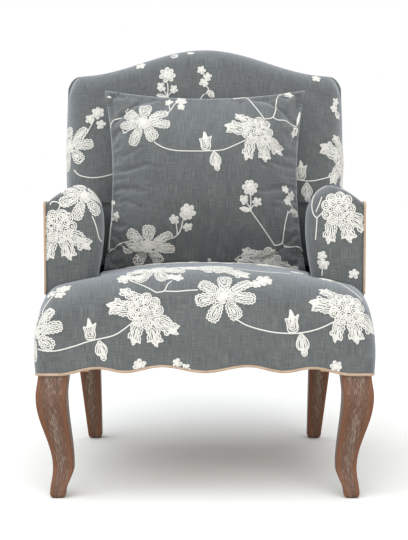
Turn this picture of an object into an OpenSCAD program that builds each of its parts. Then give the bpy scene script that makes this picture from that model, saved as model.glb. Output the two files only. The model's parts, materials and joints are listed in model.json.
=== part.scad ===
// Accent chair: tight seat with a scalloped lower edge, camel back, wrapped arms with piping,
// cabriole front legs, raked rear legs and one loose throw pillow.
// X runs to the right as seen from the front, Y to the back and Z up.
// The origin lies on the floor under the middle of the chair. Left and right are the viewer's.

/* [Seat] */
// Height of the seat frame's underside above the floor
frame_z = 264; // [230:2:300]
// Width over the seat cover at its fullest
seat_w = 698; // [640:2:760]
// Depth from the seat's front to the outside back, along the frame's underside
frame_d = 625; // [580:5:680]
// Height of the seat's crest at its middle, above the frame's underside
seat_rise = 209; // [190:1:240]
// Distance from the seat's front back to that crest
crest_y = 105; // [90:1:110]
// How much the seat top falls from the crest to its rear edge
seat_fall = 37; // [15:1:45]
// How much the seat top drops from the middle to the sides of its front
seat_crown = 45; // [25:1:50]
// Height of the plain front face, above the frame's underside
face_h = 144; // [130:1:155]
// Radius of the front corners at the lower edge
corner_low_r = 14; // [10:1:18]
// Radius of the front corners and of the ears' shoulders at the top
corner_top_r = 36; // [25:1:40]
// Height of the tall scallops above the corners of the lower edge
scallop_h = 18; // [8:1:22]
// Depth of the seat's wide front part, which runs in front of the arms
ear_d = 111; // [111:1:125]

/* [Seat frame] */
// Height of the seat rails
rail_h = 85; // [70:1:95]
// Thickness of the seat rails
rail_t = 24; // [20:1:30]
// Distance from the cover's front to the front rail
rail_inset = 14; // [12:1:18]
// Padding and cover outside the side rails
side_pad = 17; // [14:1:22]
// Leg length of the triangular corner blocks
block_w = 70; // [60:1:80]
// Height of the corner blocks
block_h = 65; // [40:1:70]

/* [Back] */
// Rake of the back from the vertical, in degrees
rake = 10.2; // [6:0.1:13]
// Height of the crest, measured along the raked back from the frame's underside
back_h = 697; // [620:1:760]
// Rise of the camel crest over the shoulders
camel_rise = 65; // [20:1:90]
// Width of the back at its fullest
back_w = 678; // [620:2:740]
// Thickness of the padded back at its borders
back_t = 100; // [90:1:120]
// Extra thickness at the middle of the back
back_crown = 22; // [5:1:30]
// Radius of the back's padded front edge
back_edge_r = 42; // [20:1:50]
// Padding and cover outside the back posts
back_pad = 7; // [6:0.5:12]
// Width of the back posts
post_w = 36; // [30:1:45]
// Depth of the back posts
post_d = 50; // [40:1:60]

/* [Arms] */
// Height of the arm's crown over the frame's underside
arm_rise = 378; // [350:1:410]
// Height of the piped outer corner below that crown
arm_corner = 36; // [25:1:45]
// Width of the arm at its front, from the piping to the fullest part of the inside
arm_w = 119.5; // [110:0.5:124]
// How far the inside of the arm moves out from front to rear
arm_flare = 36; // [30:1:40]
// How far the arm's top falls from front to rear
arm_fall = 20; // [0:1:30]
// Distance of the arm's front behind the seat's front
arm_y = 118; // [118:1:130]
// Depth over which the arm's front rounds into its crown and inside
arm_front_r = 44; // [30:1:60]
// Depth over which it rounds at the piped outer corner
arm_edge_r = 16; // [10:1:20]

/* [Legs] */
// Width of the front leg at its top
leg_w = 61; // [55:1:66]
// Width of the front leg at its ankle
ankle_w = 42; // [34:1:46]
// Height of the ankle
ankle_z = 62; // [50:1:80]
// Height of the knee
knee_z = 216; // [180:1:224]
// How far the ankle's outer face lies inside the knee's
ankle_in = 31; // [15:1:35]
// Width of the front foot
foot_w = 32; // [28:1:44]
// How far the foot's tip lies inside the knee's outer face
foot_in = 25; // [10:1:30]
// Width of the rear leg at its top
rear_top_w = 58; // [50:1:62]
// Width of the rear foot
rear_foot_w = 33; // [28:1:40]
// Distance that the rear foot lies behind the top of its leg
rear_kick = 64; // [20:1:75]

/* [Pillow] */
// Width of the pillow from corner to corner
pillow_w = 474; // [400:2:474]
// Height of the pillow as it stands
pillow_h = 430; // [380:2:450]
// Thickness of the pillow
pillow_t = 150; // [110:1:160]
// How far the middle of each edge is drawn in
pillow_draw = 20; // [6:1:24]

/* [Covers and trim] */
// Thickness of cover and lining
cover_t = 2; // [1.5:0.1:3]
// Radius of the piping
piping_r = 2.6; // [2:0.1:3.2]
// Width of the webbing bands
web_w = 50; // [40:1:55]
// Thickness of the webbing
web_t = 1.5; // [1:0.1:2]

/* [Springs] */
// Number of zigzag springs
spring_count = 5; // [4:1:6]
// Radius of the spring wire
wire_r = 1.9; // [1.6:0.1:2.2]
// Width of a zigzag spring over its wire's centre
spring_w = 52; // [44:1:60]
// Number of half turns in one spring
half_turns = 18; // [12:1:20]
// Rise of a spring's middle over its ends
spring_rise = 9; // [4:1:12]

/* [Hidden] */

// Clearance between neighbouring soft pieces
gap = 0.4;
// Clearance of the padding inside its cover
pad_gap = 2;
// Colours
fabric_grey = "#7c8285";
cream = "#e0cbb3";
oak = "#8a6a52";
frame_wood = "#c9a877";
foam_yellow = "#e8d9a0";
steel = "#8f9396";
black_cloth = "#26262a";
felt_grey = "#8d8a80";
jute = "#3a3a38";
brown_plastic = "#4a382c";
white_cloth = "#ece8df";

// Derived sizes
rail_top = frame_z + rail_h;
frame_half = seat_w / 2 - side_pad;
rail_in = frame_half - rail_t;
post_out = back_w / 2 - back_pad;
post_in = post_out - post_w;
corner_in = min(post_in, rail_in);
side_rear = max(frame_half, post_out);
post_rear = 8;
post_front = post_rear + post_d;
seat_z = frame_z + seat_rise;
face_z = frame_z + face_h;
arm_out = frame_half + 1;
arm_in = arm_out - arm_w;
arm_top = frame_z + arm_rise;
arm_corner_z = arm_top - arm_corner;
arm_low = face_z;
shoulder_l = back_h - camel_rise;
depth = frame_d + back_h * sin(rake);

// Small helpers
function lerp(a, b, f) = a + (b - a) * f;
function clamp01(t) = max(0, min(1, t));
function unit(v) = v / norm(v);
function total(v, i = 0, s = 0) = i < len(v) ? total(v, i + 1, s + v[i]) : s;
function swing(a, b, f) = lerp(a, b, (1 - cos(180 * f)) / 2);
function span(n) = [for (i = [0:n]) i / n];

// Value at x of a smooth curve through knots [x, value], flat at each knot
function through(knots, x, i = 0) =
  x <= knots[0][0] ? knots[0][1]
  : i >= len(knots) - 1 ? knots[len(knots) - 1][1]
  : x <= knots[i + 1][0]
    ? swing(knots[i][1], knots[i + 1][1], (x - knots[i][0]) / (knots[i + 1][0] - knots[i][0]))
    : through(knots, x, i + 1);

// Point on a rounded curve through a list of points, at s from 0 to the last index
function curve(p, s) =
  let (i = min(floor(s), len(p) - 2), f = s - i,
       a = p[max(i - 1, 0)], b = p[i], c = p[i + 1], d = p[min(i + 2, len(p) - 1)])
  0.5 * (2 * b + (c - a) * f + (2 * a - 5 * b + 4 * c - d) * f * f
    + (3 * b - a - 3 * c + d) * f * f * f);

// Closed mesh from points and triangles, turned so that its faces look outward
module mesh(points, faces) {
  volume = total([for (f = faces) points[f[0]] * cross(points[f[1]], points[f[2]])]);
  polyhedron(points, volume < 0 ? faces : [for (f = faces) [f[0], f[2], f[1]]]);
}

// Solid between two grids of points with the same rows and columns
module between(a, b) {
  rows = len(a) - 1;
  cols = len(a[0]) - 1;
  w = cols + 1;
  size = (rows + 1) * w;
  points = concat([for (r = a) each r], [for (r = b) each r]);
  grid = [for (i = [0:rows - 1], j = [0:cols - 1]) let (k = i * w + j)
    each [[k, k + w, k + w + 1], [k, k + w + 1, k + 1]]];
  border = concat(
    [for (j = [0:cols - 1]) [j, j + 1]],
    [for (i = [0:rows - 1]) [i * w + cols, (i + 1) * w + cols]],
    [for (j = [cols:-1:1]) [rows * w + j, rows * w + j - 1]],
    [for (i = [rows:-1:1]) [i * w, (i - 1) * w]]);
  rim = [for (e = border) each [[e[0], e[1], e[1] + size], [e[0], e[1] + size, e[0] + size]]];
  mesh(points, concat(grid, [for (t = grid) [t[0], t[2], t[1]] + [size, size, size]], rim));
}

// Solid through a row of closed rings with the same number of points
module loft(rings) {
  n = len(rings[0]);
  last = (len(rings) - 1) * n;
  walls = [for (i = [0:len(rings) - 2], j = [0:n - 1])
    let (k = i * n, m = (j + 1) % n)
    each [[k + j, k + n + j, k + n + m], [k + j, k + n + m, k + m]]];
  caps = [for (j = [1:n - 2]) each [[0, j, j + 1], [last, last + j + 1, last + j]]];
  mesh([for (r = rings) each r], concat(walls, caps));
}

// Tube of radius r along a path, whose section is turned by the side direction
module tube(path, r, side, sides = 6) {
  last = len(path) - 1;
  loft([for (i = [0:last])
    let (t = unit(path[min(i + 1, last)] - path[max(i - 1, 0)]),
         n = unit(side - (side * t) * t), m = cross(t, n))
    [for (k = [0:sides - 1]) path[i] + r * (cos(360 * k / sides) * n + sin(360 * k / sides) * m)]]);
}

// Places: the whole chair over its origin, a mirrored copy, and the raked frame of the back
module place() { translate([0, -depth / 2, 0]) children(); }
module sided(left) { if (left) mirror([1, 0, 0]) children(); else children(); }
module both() { children(); mirror([1, 0, 0]) children(); }
module in_back() { translate([0, frame_d, frame_z]) rotate([-rake, 0, 0]) children(); }
function back_point(x, y, z) =
  [x, frame_d + y * cos(rake) + z * sin(rake), frame_z - y * sin(rake) + z * cos(rake)];
// Y at height z on the plane that lies y behind the outside back
function raked_y(y, z) = frame_d + y / cos(rake) + (z - frame_z) * tan(rake);
post_y = raked_y(-post_front, frame_z);

// Profiles drawn in the YZ or XZ plane and given their third dimension
module along_x(x0, x1) { translate([x0, 0, 0]) rotate([90, 0, 90]) linear_extrude(x1 - x0) children(); }
module along_y(y0, y1) { translate([0, y1, 0]) rotate([90, 0, 0]) linear_extrude(y1 - y0) children(); }
module box(low, high) { translate(low) cube(high - low); }

// Lower edge of the seat's front, above its corners
scallops = [[0, scallop_h / 3], [88, scallop_h], [162, scallop_h / 3], [218, scallop_h * 0.78],
  [frame_half - 32, 0], [frame_half, 0]];
function scallop(x) = through(scallops, abs(x));

// Seat surface
// The strip runs up the front face, over the waterfall and back along the top:
// v is 0 to 1 on the face, 1 to 2 on the waterfall, 2 to 3 to the rear of the ears, 3 to 4 beyond.
top_half = seat_w / 2 - 12;
bulge_z = frame_z + 49;
seat_rear_y = frame_d - 27;
narrow_r = 16;
seat_low = frame_z + 2;
function side_half(z) = seat_w / 2 - 12 * pow((z - bulge_z) / 98, 2);
function face_y(z) = 4 * pow((z - bulge_z) / 60, 2);
function crown_drop(x) = seat_crown * pow(x / top_half, 2);
function seat_top_y(v) = v <= 3 ? lerp(crest_y, ear_d - 1, v - 2) : lerp(ear_d, seat_rear_y, v - 3);
function seat_top_z(y) = seat_z - seat_fall * pow(max(0, y - crest_y) / (seat_rear_y - crest_y), 2);
function seat_half(v, z) =
  v <= 1 ? side_half(z)
  : v <= 2 ? lerp(side_half(z), top_half, v - 1)
  : v <= 3 ? top_half
  : arm_inside_low(seat_top_y(v)) - 1;

// Point of the seat surface at u from -1 to 1 across and v along, moved t inward
function seat_point(u, v, t, most = 1000) =
  let (wide = v <= 3,
       half0 = seat_half(v, lerp(seat_low, face_z - seat_crown, clamp01(v))),
       x = u * min(half0 - t, most),
       fz = face_z - crown_drop(x),
       ang = 90 * clamp01(v - 1),
       a = crest_y - face_y(fz), b = seat_z - face_z,
       low = seat_low + scallop(x),
       z = v <= 1 ? lerp(low, fz, v)
         : v <= 2 ? fz + b * sin(ang)
         : seat_top_z(seat_top_y(v)) - crown_drop(x),
       y = v <= 1 ? face_y(z) : v <= 2 ? crest_y - a * cos(ang) : seat_top_y(v),
       n = v <= 1 ? [-1, 0] : v <= 2 ? unit([-cos(ang) / a, sin(ang) / b]) : [0, 1],
       r = wide ? lerp(corner_low_r, corner_top_r, clamp01(v)) : narrow_r,
       q = clamp01((abs(x) - (half0 - t - r)) / r),
       drop = t + r * (1 - sqrt(1 - q * q)))
  [x, y - n[0] * drop, z - n[1] * drop];

seat_rows = concat([for (k = [0:4]) k / 5], [for (k = [0:7]) 1 + k / 7], [3],
  [for (k = [0:7]) 3.002 + 0.998 * k / 7]);
seat_columns = concat([-1, -0.985, -0.965], [for (k = [-11:11]) 0.94 * k / 11], [0.965, 0.985, 1]);
function seat_grid(t) = [for (v = seat_rows) [for (u = seat_columns) seat_point(u, v, t)]];

module seat_cover() {
  color(fabric_grey) place() between(seat_grid(0), seat_grid(cover_t));
}

// Flat sides of the ears, from the corner seam back to the arm
module seat_side_panels() {
  rows = [for (v = seat_rows) if (v <= 2) v];
  function start(v) = let (p = seat_point(1, v, 0), q = seat_point(1, v, cover_t + gap)) [p[0], q[1], q[2]];
  function panel(inset) = [for (v = rows) let (p = start(v))
    [for (c = span(2)) [p[0] - inset, lerp(p[1], ear_d - 1, c), p[2]]]];
  color(fabric_grey) place() both() between(panel(0), panel(cover_t));
}

// How far the chair's sides lie outside the seat frame at y, where they run back to the posts
function side_shift(y) = (side_rear - frame_half) * clamp01((y - arm_y) / (post_y - arm_y));

// Springs: each wire runs across the chair and back in half turns from the front rail to the rear rail
clip_half = 5;
front_clip_y = rail_inset + rail_t - clip_half - 1;
rear_rail_t = 22;
rear_rail_inset = 35;
rear_rail_y = frame_d - rear_rail_inset;
rear_clip_y = rear_rail_y + rear_rail_t / 2;
spring_len = rear_clip_y - front_clip_y;
turn_r = spring_len / half_turns / 2;
clip_plate = 1.5;
clip_gap = 0.2;
spring_z = rail_top + clip_plate + wire_r + clip_gap;
clip_w = 16;
spring_pitch = (2 * rail_in - 100) / (spring_count - 1);
function spring_height(y) = spring_z
  + spring_rise * (1 - pow(2 * (y - front_clip_y) / spring_len - 1, 2));
function spring_path(x0) =
  let (reach = spring_w / 2 - turn_r,
       flat = concat(
         [[-reach - turn_r / 2, front_clip_y], [reach - 1, front_clip_y]],
         [for (i = [0:half_turns - 1], a = [-67.5:45:67.5]) let (side = i % 2 == 0 ? 1 : -1)
           [side * (reach + turn_r * cos(a)), front_clip_y + turn_r * (2 * i + 1 + sin(a))]],
         [for (x = [reach - 1, -reach - turn_r / 2]) [(half_turns % 2 == 0 ? -1 : 1) * x, rear_clip_y]]))
  [for (p = flat) [x0 + p[0], p[1], spring_height(p[1])]];
spring_places = [for (i = [0:spring_count - 1]) (i - (spring_count - 1) / 2) * spring_pitch];

module seat_springs() {
  path = spring_path(0);
  far = [for (i = [0:len(path) - 1], j = [i + 6:1:len(path) - 1]) norm(path[i] - path[j])];
  echo("least gap of a spring to itself", min(far) - 2 * wire_r);
  color(steel) place() for (x = spring_places) tube(spring_path(x), wire_r, [0, 0, 1]);
}

module spring_clips() {
  color(steel) place() for (x = spring_places, y = [front_clip_y, rear_clip_y])
    along_x(x - clip_w / 2, x + clip_w / 2) difference() {
      translate([y - clip_half, rail_top]) square([2 * clip_half, 2 * (wire_r + clip_plate + clip_gap)]);
      translate([y, spring_z]) circle(wire_r + clip_gap, $fn = 24);
    }
}

tie_r = 1.4;
module spring_tie_wires() {
  half = spring_pitch * (spring_count - 1) / 2 + spring_w / 2;
  color(steel) place() for (k = [floor(half_turns / 3), ceil(half_turns * 2 / 3)]) {
    y = front_clip_y + 2 * turn_r * k;
    z = spring_height(y) - wire_r - tie_r - gap;
    translate([-half, y, z]) rotate([0, 90, 0]) cylinder(h = 2 * half, r = tie_r, $fn = 16);
  }
}

felt_z = spring_z + spring_rise + wire_r + gap;
felt_t = 4;
foam_low = felt_z + felt_t + gap;
module spring_cover() {
  half = min(corner_in - 4, frame_half - arm_board);
  color(felt_grey) place()
    box([-half, rail_inset + rail_t + 4, felt_z], [half, rear_clip_y - 2, felt_z + felt_t]);
}

// Frame
module front_rail() {
  n = 48;
  round_r = rail_t - 3;
  centre_x = frame_half - round_r;
  color(frame_wood) place() intersection() {
    along_y(rail_inset, rail_inset + rail_t) polygon(concat(
      [for (k = [-n:n]) let (x = frame_half * k / n) [x, frame_z + scallop(x)]],
      [[frame_half, rail_top], [-frame_half, rail_top]]));
    translate([0, 0, frame_z - 1]) linear_extrude(rail_h + 2) polygon(concat(
      [[-frame_half, rail_inset + rail_t]],
      [for (a = [180:7.5:270]) [-centre_x, rail_inset + round_r] + round_r * [cos(a), sin(a)]],
      [for (a = [270:7.5:360]) [centre_x, rail_inset + round_r] + round_r * [cos(a), sin(a)]],
      [[frame_half, rail_inset + rail_t]]));
  }
}

module side_rail(left) {
  color(frame_wood) place() sided(left) along_x(rail_in, frame_half) polygon([
    [rail_inset + rail_t, frame_z], [raked_y(-post_front, frame_z), frame_z],
    [raked_y(-post_front, rail_top), rail_top], [rail_inset + rail_t, rail_top]]);
}

module rear_rail() {
  color(frame_wood) place()
    box([-post_in, rear_rail_y, frame_z], [post_in, rear_rail_y + rear_rail_t, rail_top]);
}

bolt_r = 4;
bolt_gap = 0.3;
bolt_in_leg = 40;
leg_out_x = seat_w / 2 - 4;
leg_front_y = 4;
rear_leg_under = 40;
rear_leg_ahead = 34;
rear_leg_in = corner_in - rear_leg_under;
rear_leg_y = rear_rail_y - rear_leg_ahead;
front_bolt_in = 12;
rear_bolt_in = 15;
front_bolt = [rail_in - front_bolt_in, rail_inset + rail_t + front_bolt_in];
rear_bolt = [corner_in - rear_bolt_in, rear_rail_y - rear_bolt_in];
module at_bolts() { both() for (p = [front_bolt, rear_bolt]) translate([p[0], p[1], 0]) children(); }

module corner_blocks() {
  front_y = rail_inset + rail_t;
  color(frame_wood) place() difference() {
    both() translate([0, 0, frame_z]) linear_extrude(block_h) {
      polygon([[rail_in, front_y], [rail_in, front_y + block_w], [rail_in - block_w, front_y]]);
      polygon([[corner_in, rear_rail_y], [corner_in - block_w, rear_rail_y],
        [corner_in, rear_rail_y - block_w]]);
    }
    at_bolts() translate([0, 0, frame_z - 1]) cylinder(h = block_h + 2, r = bolt_r + bolt_gap, $fn = 32);
  }
}

module back_post(left) {
  color(frame_wood) place() sided(left) along_x(post_in, post_out) polygon([
    [raked_y(-post_front, frame_z), frame_z], [raked_y(-post_rear, frame_z), frame_z],
    [back_point(0, -post_rear, crest_low)[1], back_point(0, -post_rear, crest_low)[2]],
    [back_point(0, -post_front, crest_low)[1], back_point(0, -post_front, crest_low)[2]]]);
}

// Outline of the back, in the raked frame
shoulder_w = 32;
camel_half = back_w / 2 - shoulder_w;
shoulder_drop = 50;
crest_rail_h = 85;
crest_low = shoulder_l - crest_rail_h;
crest_pad = 11;
back_rail_t = 24;
function camel(x) =
  let (a = min(abs(x), camel_half), q = clamp01((abs(x) - camel_half) / shoulder_w))
  shoulder_l + camel_rise * (1 + cos(180 * a / camel_half)) / 2 - shoulder_drop * (1 - sqrt(1 - q * q));

module crest_rail() {
  n = 40;
  half = post_out - 8;
  color(frame_wood) place() in_back() along_y(-post_front, -post_front + back_rail_t) polygon(concat(
    [[-half, crest_low], [half, crest_low]],
    [for (k = [n:-1:-n]) [half * k / n, camel(half * k / n) - crest_pad]]));
}

lower_rail_z = 188;
lower_rail_h = 60;
module lower_back_rail() {
  color(frame_wood) place() in_back()
    box([-post_in, -post_front, lower_rail_z],
      [post_in, -post_front + back_rail_t, lower_rail_z + lower_rail_h]);
}

web_lap = 40;
module back_webbing() {
  top = crest_low + web_lap;
  low = lower_rail_z + web_lap / 2;
  step = 2 * (post_in - 20) / 4;
  arm_l = (arm_board_top(arm_y + arm_len) - frame_z) / cos(rake) - 10;
  heights = concat([arm_l - arm_board_t - web_w / 2 - 14],
    [for (k = [0:2]) lerp(arm_l + web_w / 2 + 12, top - web_w / 2, k / 2)]);
  color(jute) place() in_back() {
    for (k = [-1:1]) box([k * step - web_w / 2, -post_front - web_t, low],
      [k * step + web_w / 2, -post_front, top]);
    for (z = heights)
      box([-(post_in + 16), -post_front - 2 * web_t, z - web_w / 2],
        [post_in + 16, -post_front - web_t, z + web_w / 2]);
  }
}

// Padding over the seat frame
module edge_roll() {
  half = frame_half - 24;
  reach = (front_clip_y - clip_half - gap - rail_inset) / 2;
  high = felt_z + felt_t - rail_top;
  color(foam_yellow) place() along_x(-half, half) polygon(concat(
    [for (a = [0:10:180]) [rail_inset + reach + reach * cos(a), rail_top + high * sin(a)]]));
}

module rail_padding() {
  n = 48;
  half = frame_half + 10;
  r = 40;
  front = 5;
  inner_r = rail_t - 3;
  top = rail_top - 1;
  rear = ear_d - 2;
  function corner(x, y, radius, side) = [for (a = side < 0 ? [180:7.5:270] : [270:7.5:360])
    [side * x, y] + radius * [cos(a), sin(a)]];
  function reversed(v) = [for (i = [len(v) - 1:-1:0]) v[i]];
  color(foam_yellow) place() intersection() {
    translate([0, 0, frame_z]) linear_extrude(top - frame_z) polygon(concat(
      [[-half, rear]], corner(half - r, front + r, r, -1), corner(half - r, front + r, r, 1),
      [[half, rear], [frame_half + gap, rear]],
      reversed(corner(frame_half - inner_r, rail_inset + inner_r, inner_r + gap, 1)),
      reversed(corner(frame_half - inner_r, rail_inset + inner_r, inner_r + gap, -1)),
      [[-frame_half - gap, rear]]));
    along_y(front - 1, rear + 1) polygon(concat(
      [for (k = [-n:n]) let (x = (half + 1) * k / n) [x, frame_z + scallop(x) + 2]],
      [[half + 1, top], [-half - 1, top]]));
  }
}

module seat_foam() {
  rows = concat([for (k = [0:4]) 1 + k / 4], [3], [for (k = [0:3]) 3.002 + 0.998 * k / 3]);
  columns = [for (k = [-4:4]) k / 4];
  top = [for (v = rows) [for (u = columns)
    let (p = seat_point(u, v, cover_t + pad_gap, frame_half - 20)) [p[0], p[1], max(p[2], foam_low + 2)]]];
  color(foam_yellow) place() between(top, [for (r = top) [for (p = r) [p[0], p[1], foam_low]]]);
}

// Back padding and its cover, in the raked frame. v is 0 to 1 between the arms, 1 to 2 above them.
wing_l = (arm_corner_z - arm_fall + 4 - frame_z - back_t * sin(rake)) / cos(rake);
back_low_l = 166;
back_tuck = 3;
function narrow_back() = arm_in + arm_flare - back_tuck + side_shift(arm_y + arm_len);
back_belly = 2.5;
back_low_r = 20;
web_front = post_front + 2 * web_t + gap;
function back_surface(u, v, t) =
  let (narrow = v <= 1, f = narrow ? v : v - 1,
       half = narrow ? narrow_back() : back_w / 2 - back_belly * pow(2 * f - 1, 2),
       r = narrow ? lerp(back_low_r, 0.01, f) : back_edge_r,
       x = u * (half - t),
       high = camel(x) - t,
       z = narrow ? lerp(back_low_l, wing_l - 2, f) : lerp(wing_l, high, f),
       mid = (back_low_l + shoulder_l) / 2,
       crown = back_crown * (1 - pow(x / half, 2)) * (1 - 0.5 * pow((z - mid) / (shoulder_l - mid), 2)),
       qx = clamp01((abs(x) - (half - t - r)) / r), qz = clamp01((z - (high - r)) / r),
       drop = r * (1 - sqrt(max(0, 1 - qx * qx - qz * qz))))
  [x, -(back_t - t + max(0, crown) - drop), z];
back_rows = [0, 0.4, 1, 1.0005, 1.03, 1.1, 1.25, 1.4, 1.55, 1.7, 1.8, 1.87, 1.92, 1.96, 1.985, 2];
back_columns = concat([-1, -0.985, -0.96, -0.92], [for (k = [-6:6]) 0.86 * k / 6], [0.92, 0.96, 0.985, 1]);

module inside_back_cover() {
  wall_end = -2.4;
  tuck = -(web_front + 1);
  function edge(p, row) = [p[0], row < 4 ? tuck : wall_end, p[2]];
  function rows(t) = let (g = [for (v = back_rows) [for (u = back_columns) back_surface(u, v, t)]])
    concat(
      [for (i = [0:len(g) - 1]) concat([edge(g[i][0], i)], g[i], [edge(g[i][len(g[i]) - 1], i)])],
      [let (last = g[len(g) - 1])
        concat([edge(last[0], 9)], [for (p = last) edge(p, 9)], [edge(last[len(last) - 1], 9)])]);
  color(fabric_grey) place() in_back() between(rows(0), rows(cover_t));
}

module back_foam() {
  t = cover_t + pad_gap;
  border = 18;
  across = 1 - border / (back_w / 2);
  columns = across * [-1, -0.93, -0.8, -0.4, 0, 0.4, 0.8, 0.93, 1];
  rows = [0, 0.5, 1, 1.0005, 1.2, 1.45, 1.7, 1.85, 1.9, 2 - border / (shoulder_l - wing_l)];
  front = [for (v = rows) [for (u = columns) let (p = back_surface(u, v, t))
    [p[0], min(p[1], -web_front - 2), p[2]]]];
  color(foam_yellow) place() in_back()
    between(front, [for (r = front) [for (p = r) [p[0], -web_front, p[2]]]]);
}

module outside_back_panel() {
  n = 40;
  half = side_rear + 1;
  color(fabric_grey) place() in_back() along_y(-cover_t, 0) polygon(concat(
    [[-half, 0], [half, 0]],
    [for (k = [n:-1:-n]) let (x = half * k / n) [x, camel(x) - 1]]));
}

// Arms
// Cross-section of the arm's cover, from the piped outer corner over the crown and down the inside
// as shares of the arm's width from its outer corner, and of its height below the crown
arm_h = arm_top - arm_low;
arm_low_x = arm_in + 0.1 * arm_w;
arm_outline = concat(
  [[arm_out, arm_corner_z], [arm_out - 0.184 * arm_w, arm_top - arm_corner / 2],
   [arm_out - 0.393 * arm_w, arm_top - arm_corner / 9]],
  [for (p = [[0.619, 0], [0.841, 0.077], [0.975, 0.214], [1, 0.419], [0.958, 0.632], [0.9, 0.812],
      [0.9, 1]])
    [arm_out - p[0] * arm_w, arm_top - p[1] * arm_h]]);
arm_plane = back_t + back_crown * 0.55;
arm_len = raked_y(-arm_plane, arm_top) - arm_y;
function arm_end(z) = raked_y(-arm_plane, z) - 1;
function arm_ring(s, t) =
  let (p = curve(arm_outline, s), e = 0.01,
       d = unit(curve(arm_outline, min(s + e, 9)) - curve(arm_outline, max(s - e, 0))))
  p + t * [-d[1], d[0]];
function arm_shift(x, y, z) =
  let (f = (y - arm_y) / arm_len, high = clamp01((z - arm_low) / (arm_corner_z - arm_low)))
  [x + arm_flare * f * (arm_out - x) / arm_w + side_shift(y), y, z - arm_fall * f * high];
// Depth of the rounding at s of the outline
function arm_round(s) = lerp(arm_edge_r, arm_front_r, clamp01(s / 3));
function arm_body(s, f, t, start = 0) =
  let (p = arm_ring(s, t))
  arm_shift(p[0], lerp(arm_y + max(start, arm_round(s)), arm_end(p[1]), f), p[1]);
function arm_face(s, g, t) =
  let (p = arm_ring(s, t), low = arm_corner_z - 6 - (arm_corner_z - 6 - arm_low) * pow(s / 9, 1.5),
       edge = [arm_out, low])
  concat([lerp(edge[0], p[0], g)], [arm_y + t + (arm_round(s) - t) * (1 - sqrt(1 - pow(g, 4)))],
    [lerp(edge[1], p[1], g)]);
function arm_inside_low(y) = arm_low_x + side_shift(y)
  + arm_flare * (y - arm_y) / arm_len * (arm_out - arm_low_x) / arm_w;
arm_steps = [for (k = [0:16]) 9 * k / 16];

module arm_cover(left) {
  function rows(t) = concat(
    [for (g = [0, 0.4, 0.62, 0.76, 0.87, 0.94, 0.985]) [for (s = arm_steps) arm_face(s, g, t)]],
    [for (f = span(4)) [for (s = arm_steps) arm_body(s, f, t)]]);
  color(fabric_grey) place() sided(left) between(rows(0), rows(cover_t));
}

arm_board = 40;
arm_board_t = 22;
function arm_board_top(y) = arm_corner_z - 9 - arm_fall * (y - arm_y) / arm_len;
post_y0 = arm_y + arm_front_r;
arm_post_d = 30;
module arm_foam(left) {
  t = cover_t + pad_gap;
  x_in = frame_half - arm_board - gap;
  turn = 4.5;
  function core(s, y) = s <= turn
    ? [lerp(frame_half - 1, x_in, s / turn), y, arm_board_top(y) + gap]
    : [x_in, y, lerp(arm_board_top(y) + gap, arm_low + 2, (s - turn) / (9 - turn))];
  steps = [for (k = [0:10]) 9 * k / 10];
  outer = [for (f = span(3)) [for (s = steps) arm_body(s, f, t, arm_front_r)]];
  inner = [for (i = [0:3]) [for (j = [0:10]) core(steps[j], outer[i][j][1])]];
  color(foam_yellow) place() sided(left) between(outer, inner);
}

module arm_front_pad(left) {
  t = cover_t + pad_gap;
  front = [for (g = [0.02, 0.5, 0.9]) [for (k = [0:10]) let (p = arm_face(9 * k / 10, g, t))
    [min(p[0], arm_out - t), p[1], p[2] - 2]]];
  rear = [for (r = front) [for (p = r) [p[0], arm_y + arm_front_r - gap, p[2]]]];
  color(foam_yellow) place() sided(left) between(front, rear);
}

module arm_post(left) {
  x0 = frame_half - arm_board;
  color(frame_wood) place() sided(left) along_x(x0, frame_half) polygon([
    [post_y0, rail_top], [post_y0 + arm_post_d, rail_top],
    [post_y0 + arm_post_d, arm_board_top(post_y0 + arm_post_d) - arm_board_t],
    [post_y0, arm_board_top(post_y0) - arm_board_t]]);
}

module arm_rail(left) {
  fall = arm_fall / arm_len;
  // Y at which a line that falls to the rear from height z meets the post's front
  function meet(z) = (raked_y(-post_front, z + fall * arm_y)) / (1 + fall * tan(rake));
  z0 = arm_board_top(arm_y);
  y_low = meet(z0 - arm_board_t);
  y_top = meet(z0);
  color(frame_wood) place() sided(left) along_x(frame_half - arm_board, frame_half) polygon([
    [post_y0, arm_board_top(post_y0) - arm_board_t], [y_low, arm_board_top(y_low) - arm_board_t],
    [y_top, arm_board_top(y_top)], [post_y0, arm_board_top(post_y0)]]);
}

liner_t = 22;
liner_h = 40;
module arm_liner(left) {
  z0 = arm_low + 6;
  z1 = z0 + liner_h;
  y0 = post_y0 + arm_post_d;
  color(frame_wood) place() sided(left) along_x(frame_half - liner_t, frame_half) polygon([
    [y0, z0], [raked_y(-post_front, z0), z0], [raked_y(-post_front, z1), z1], [y0, z1]]);
}

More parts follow.
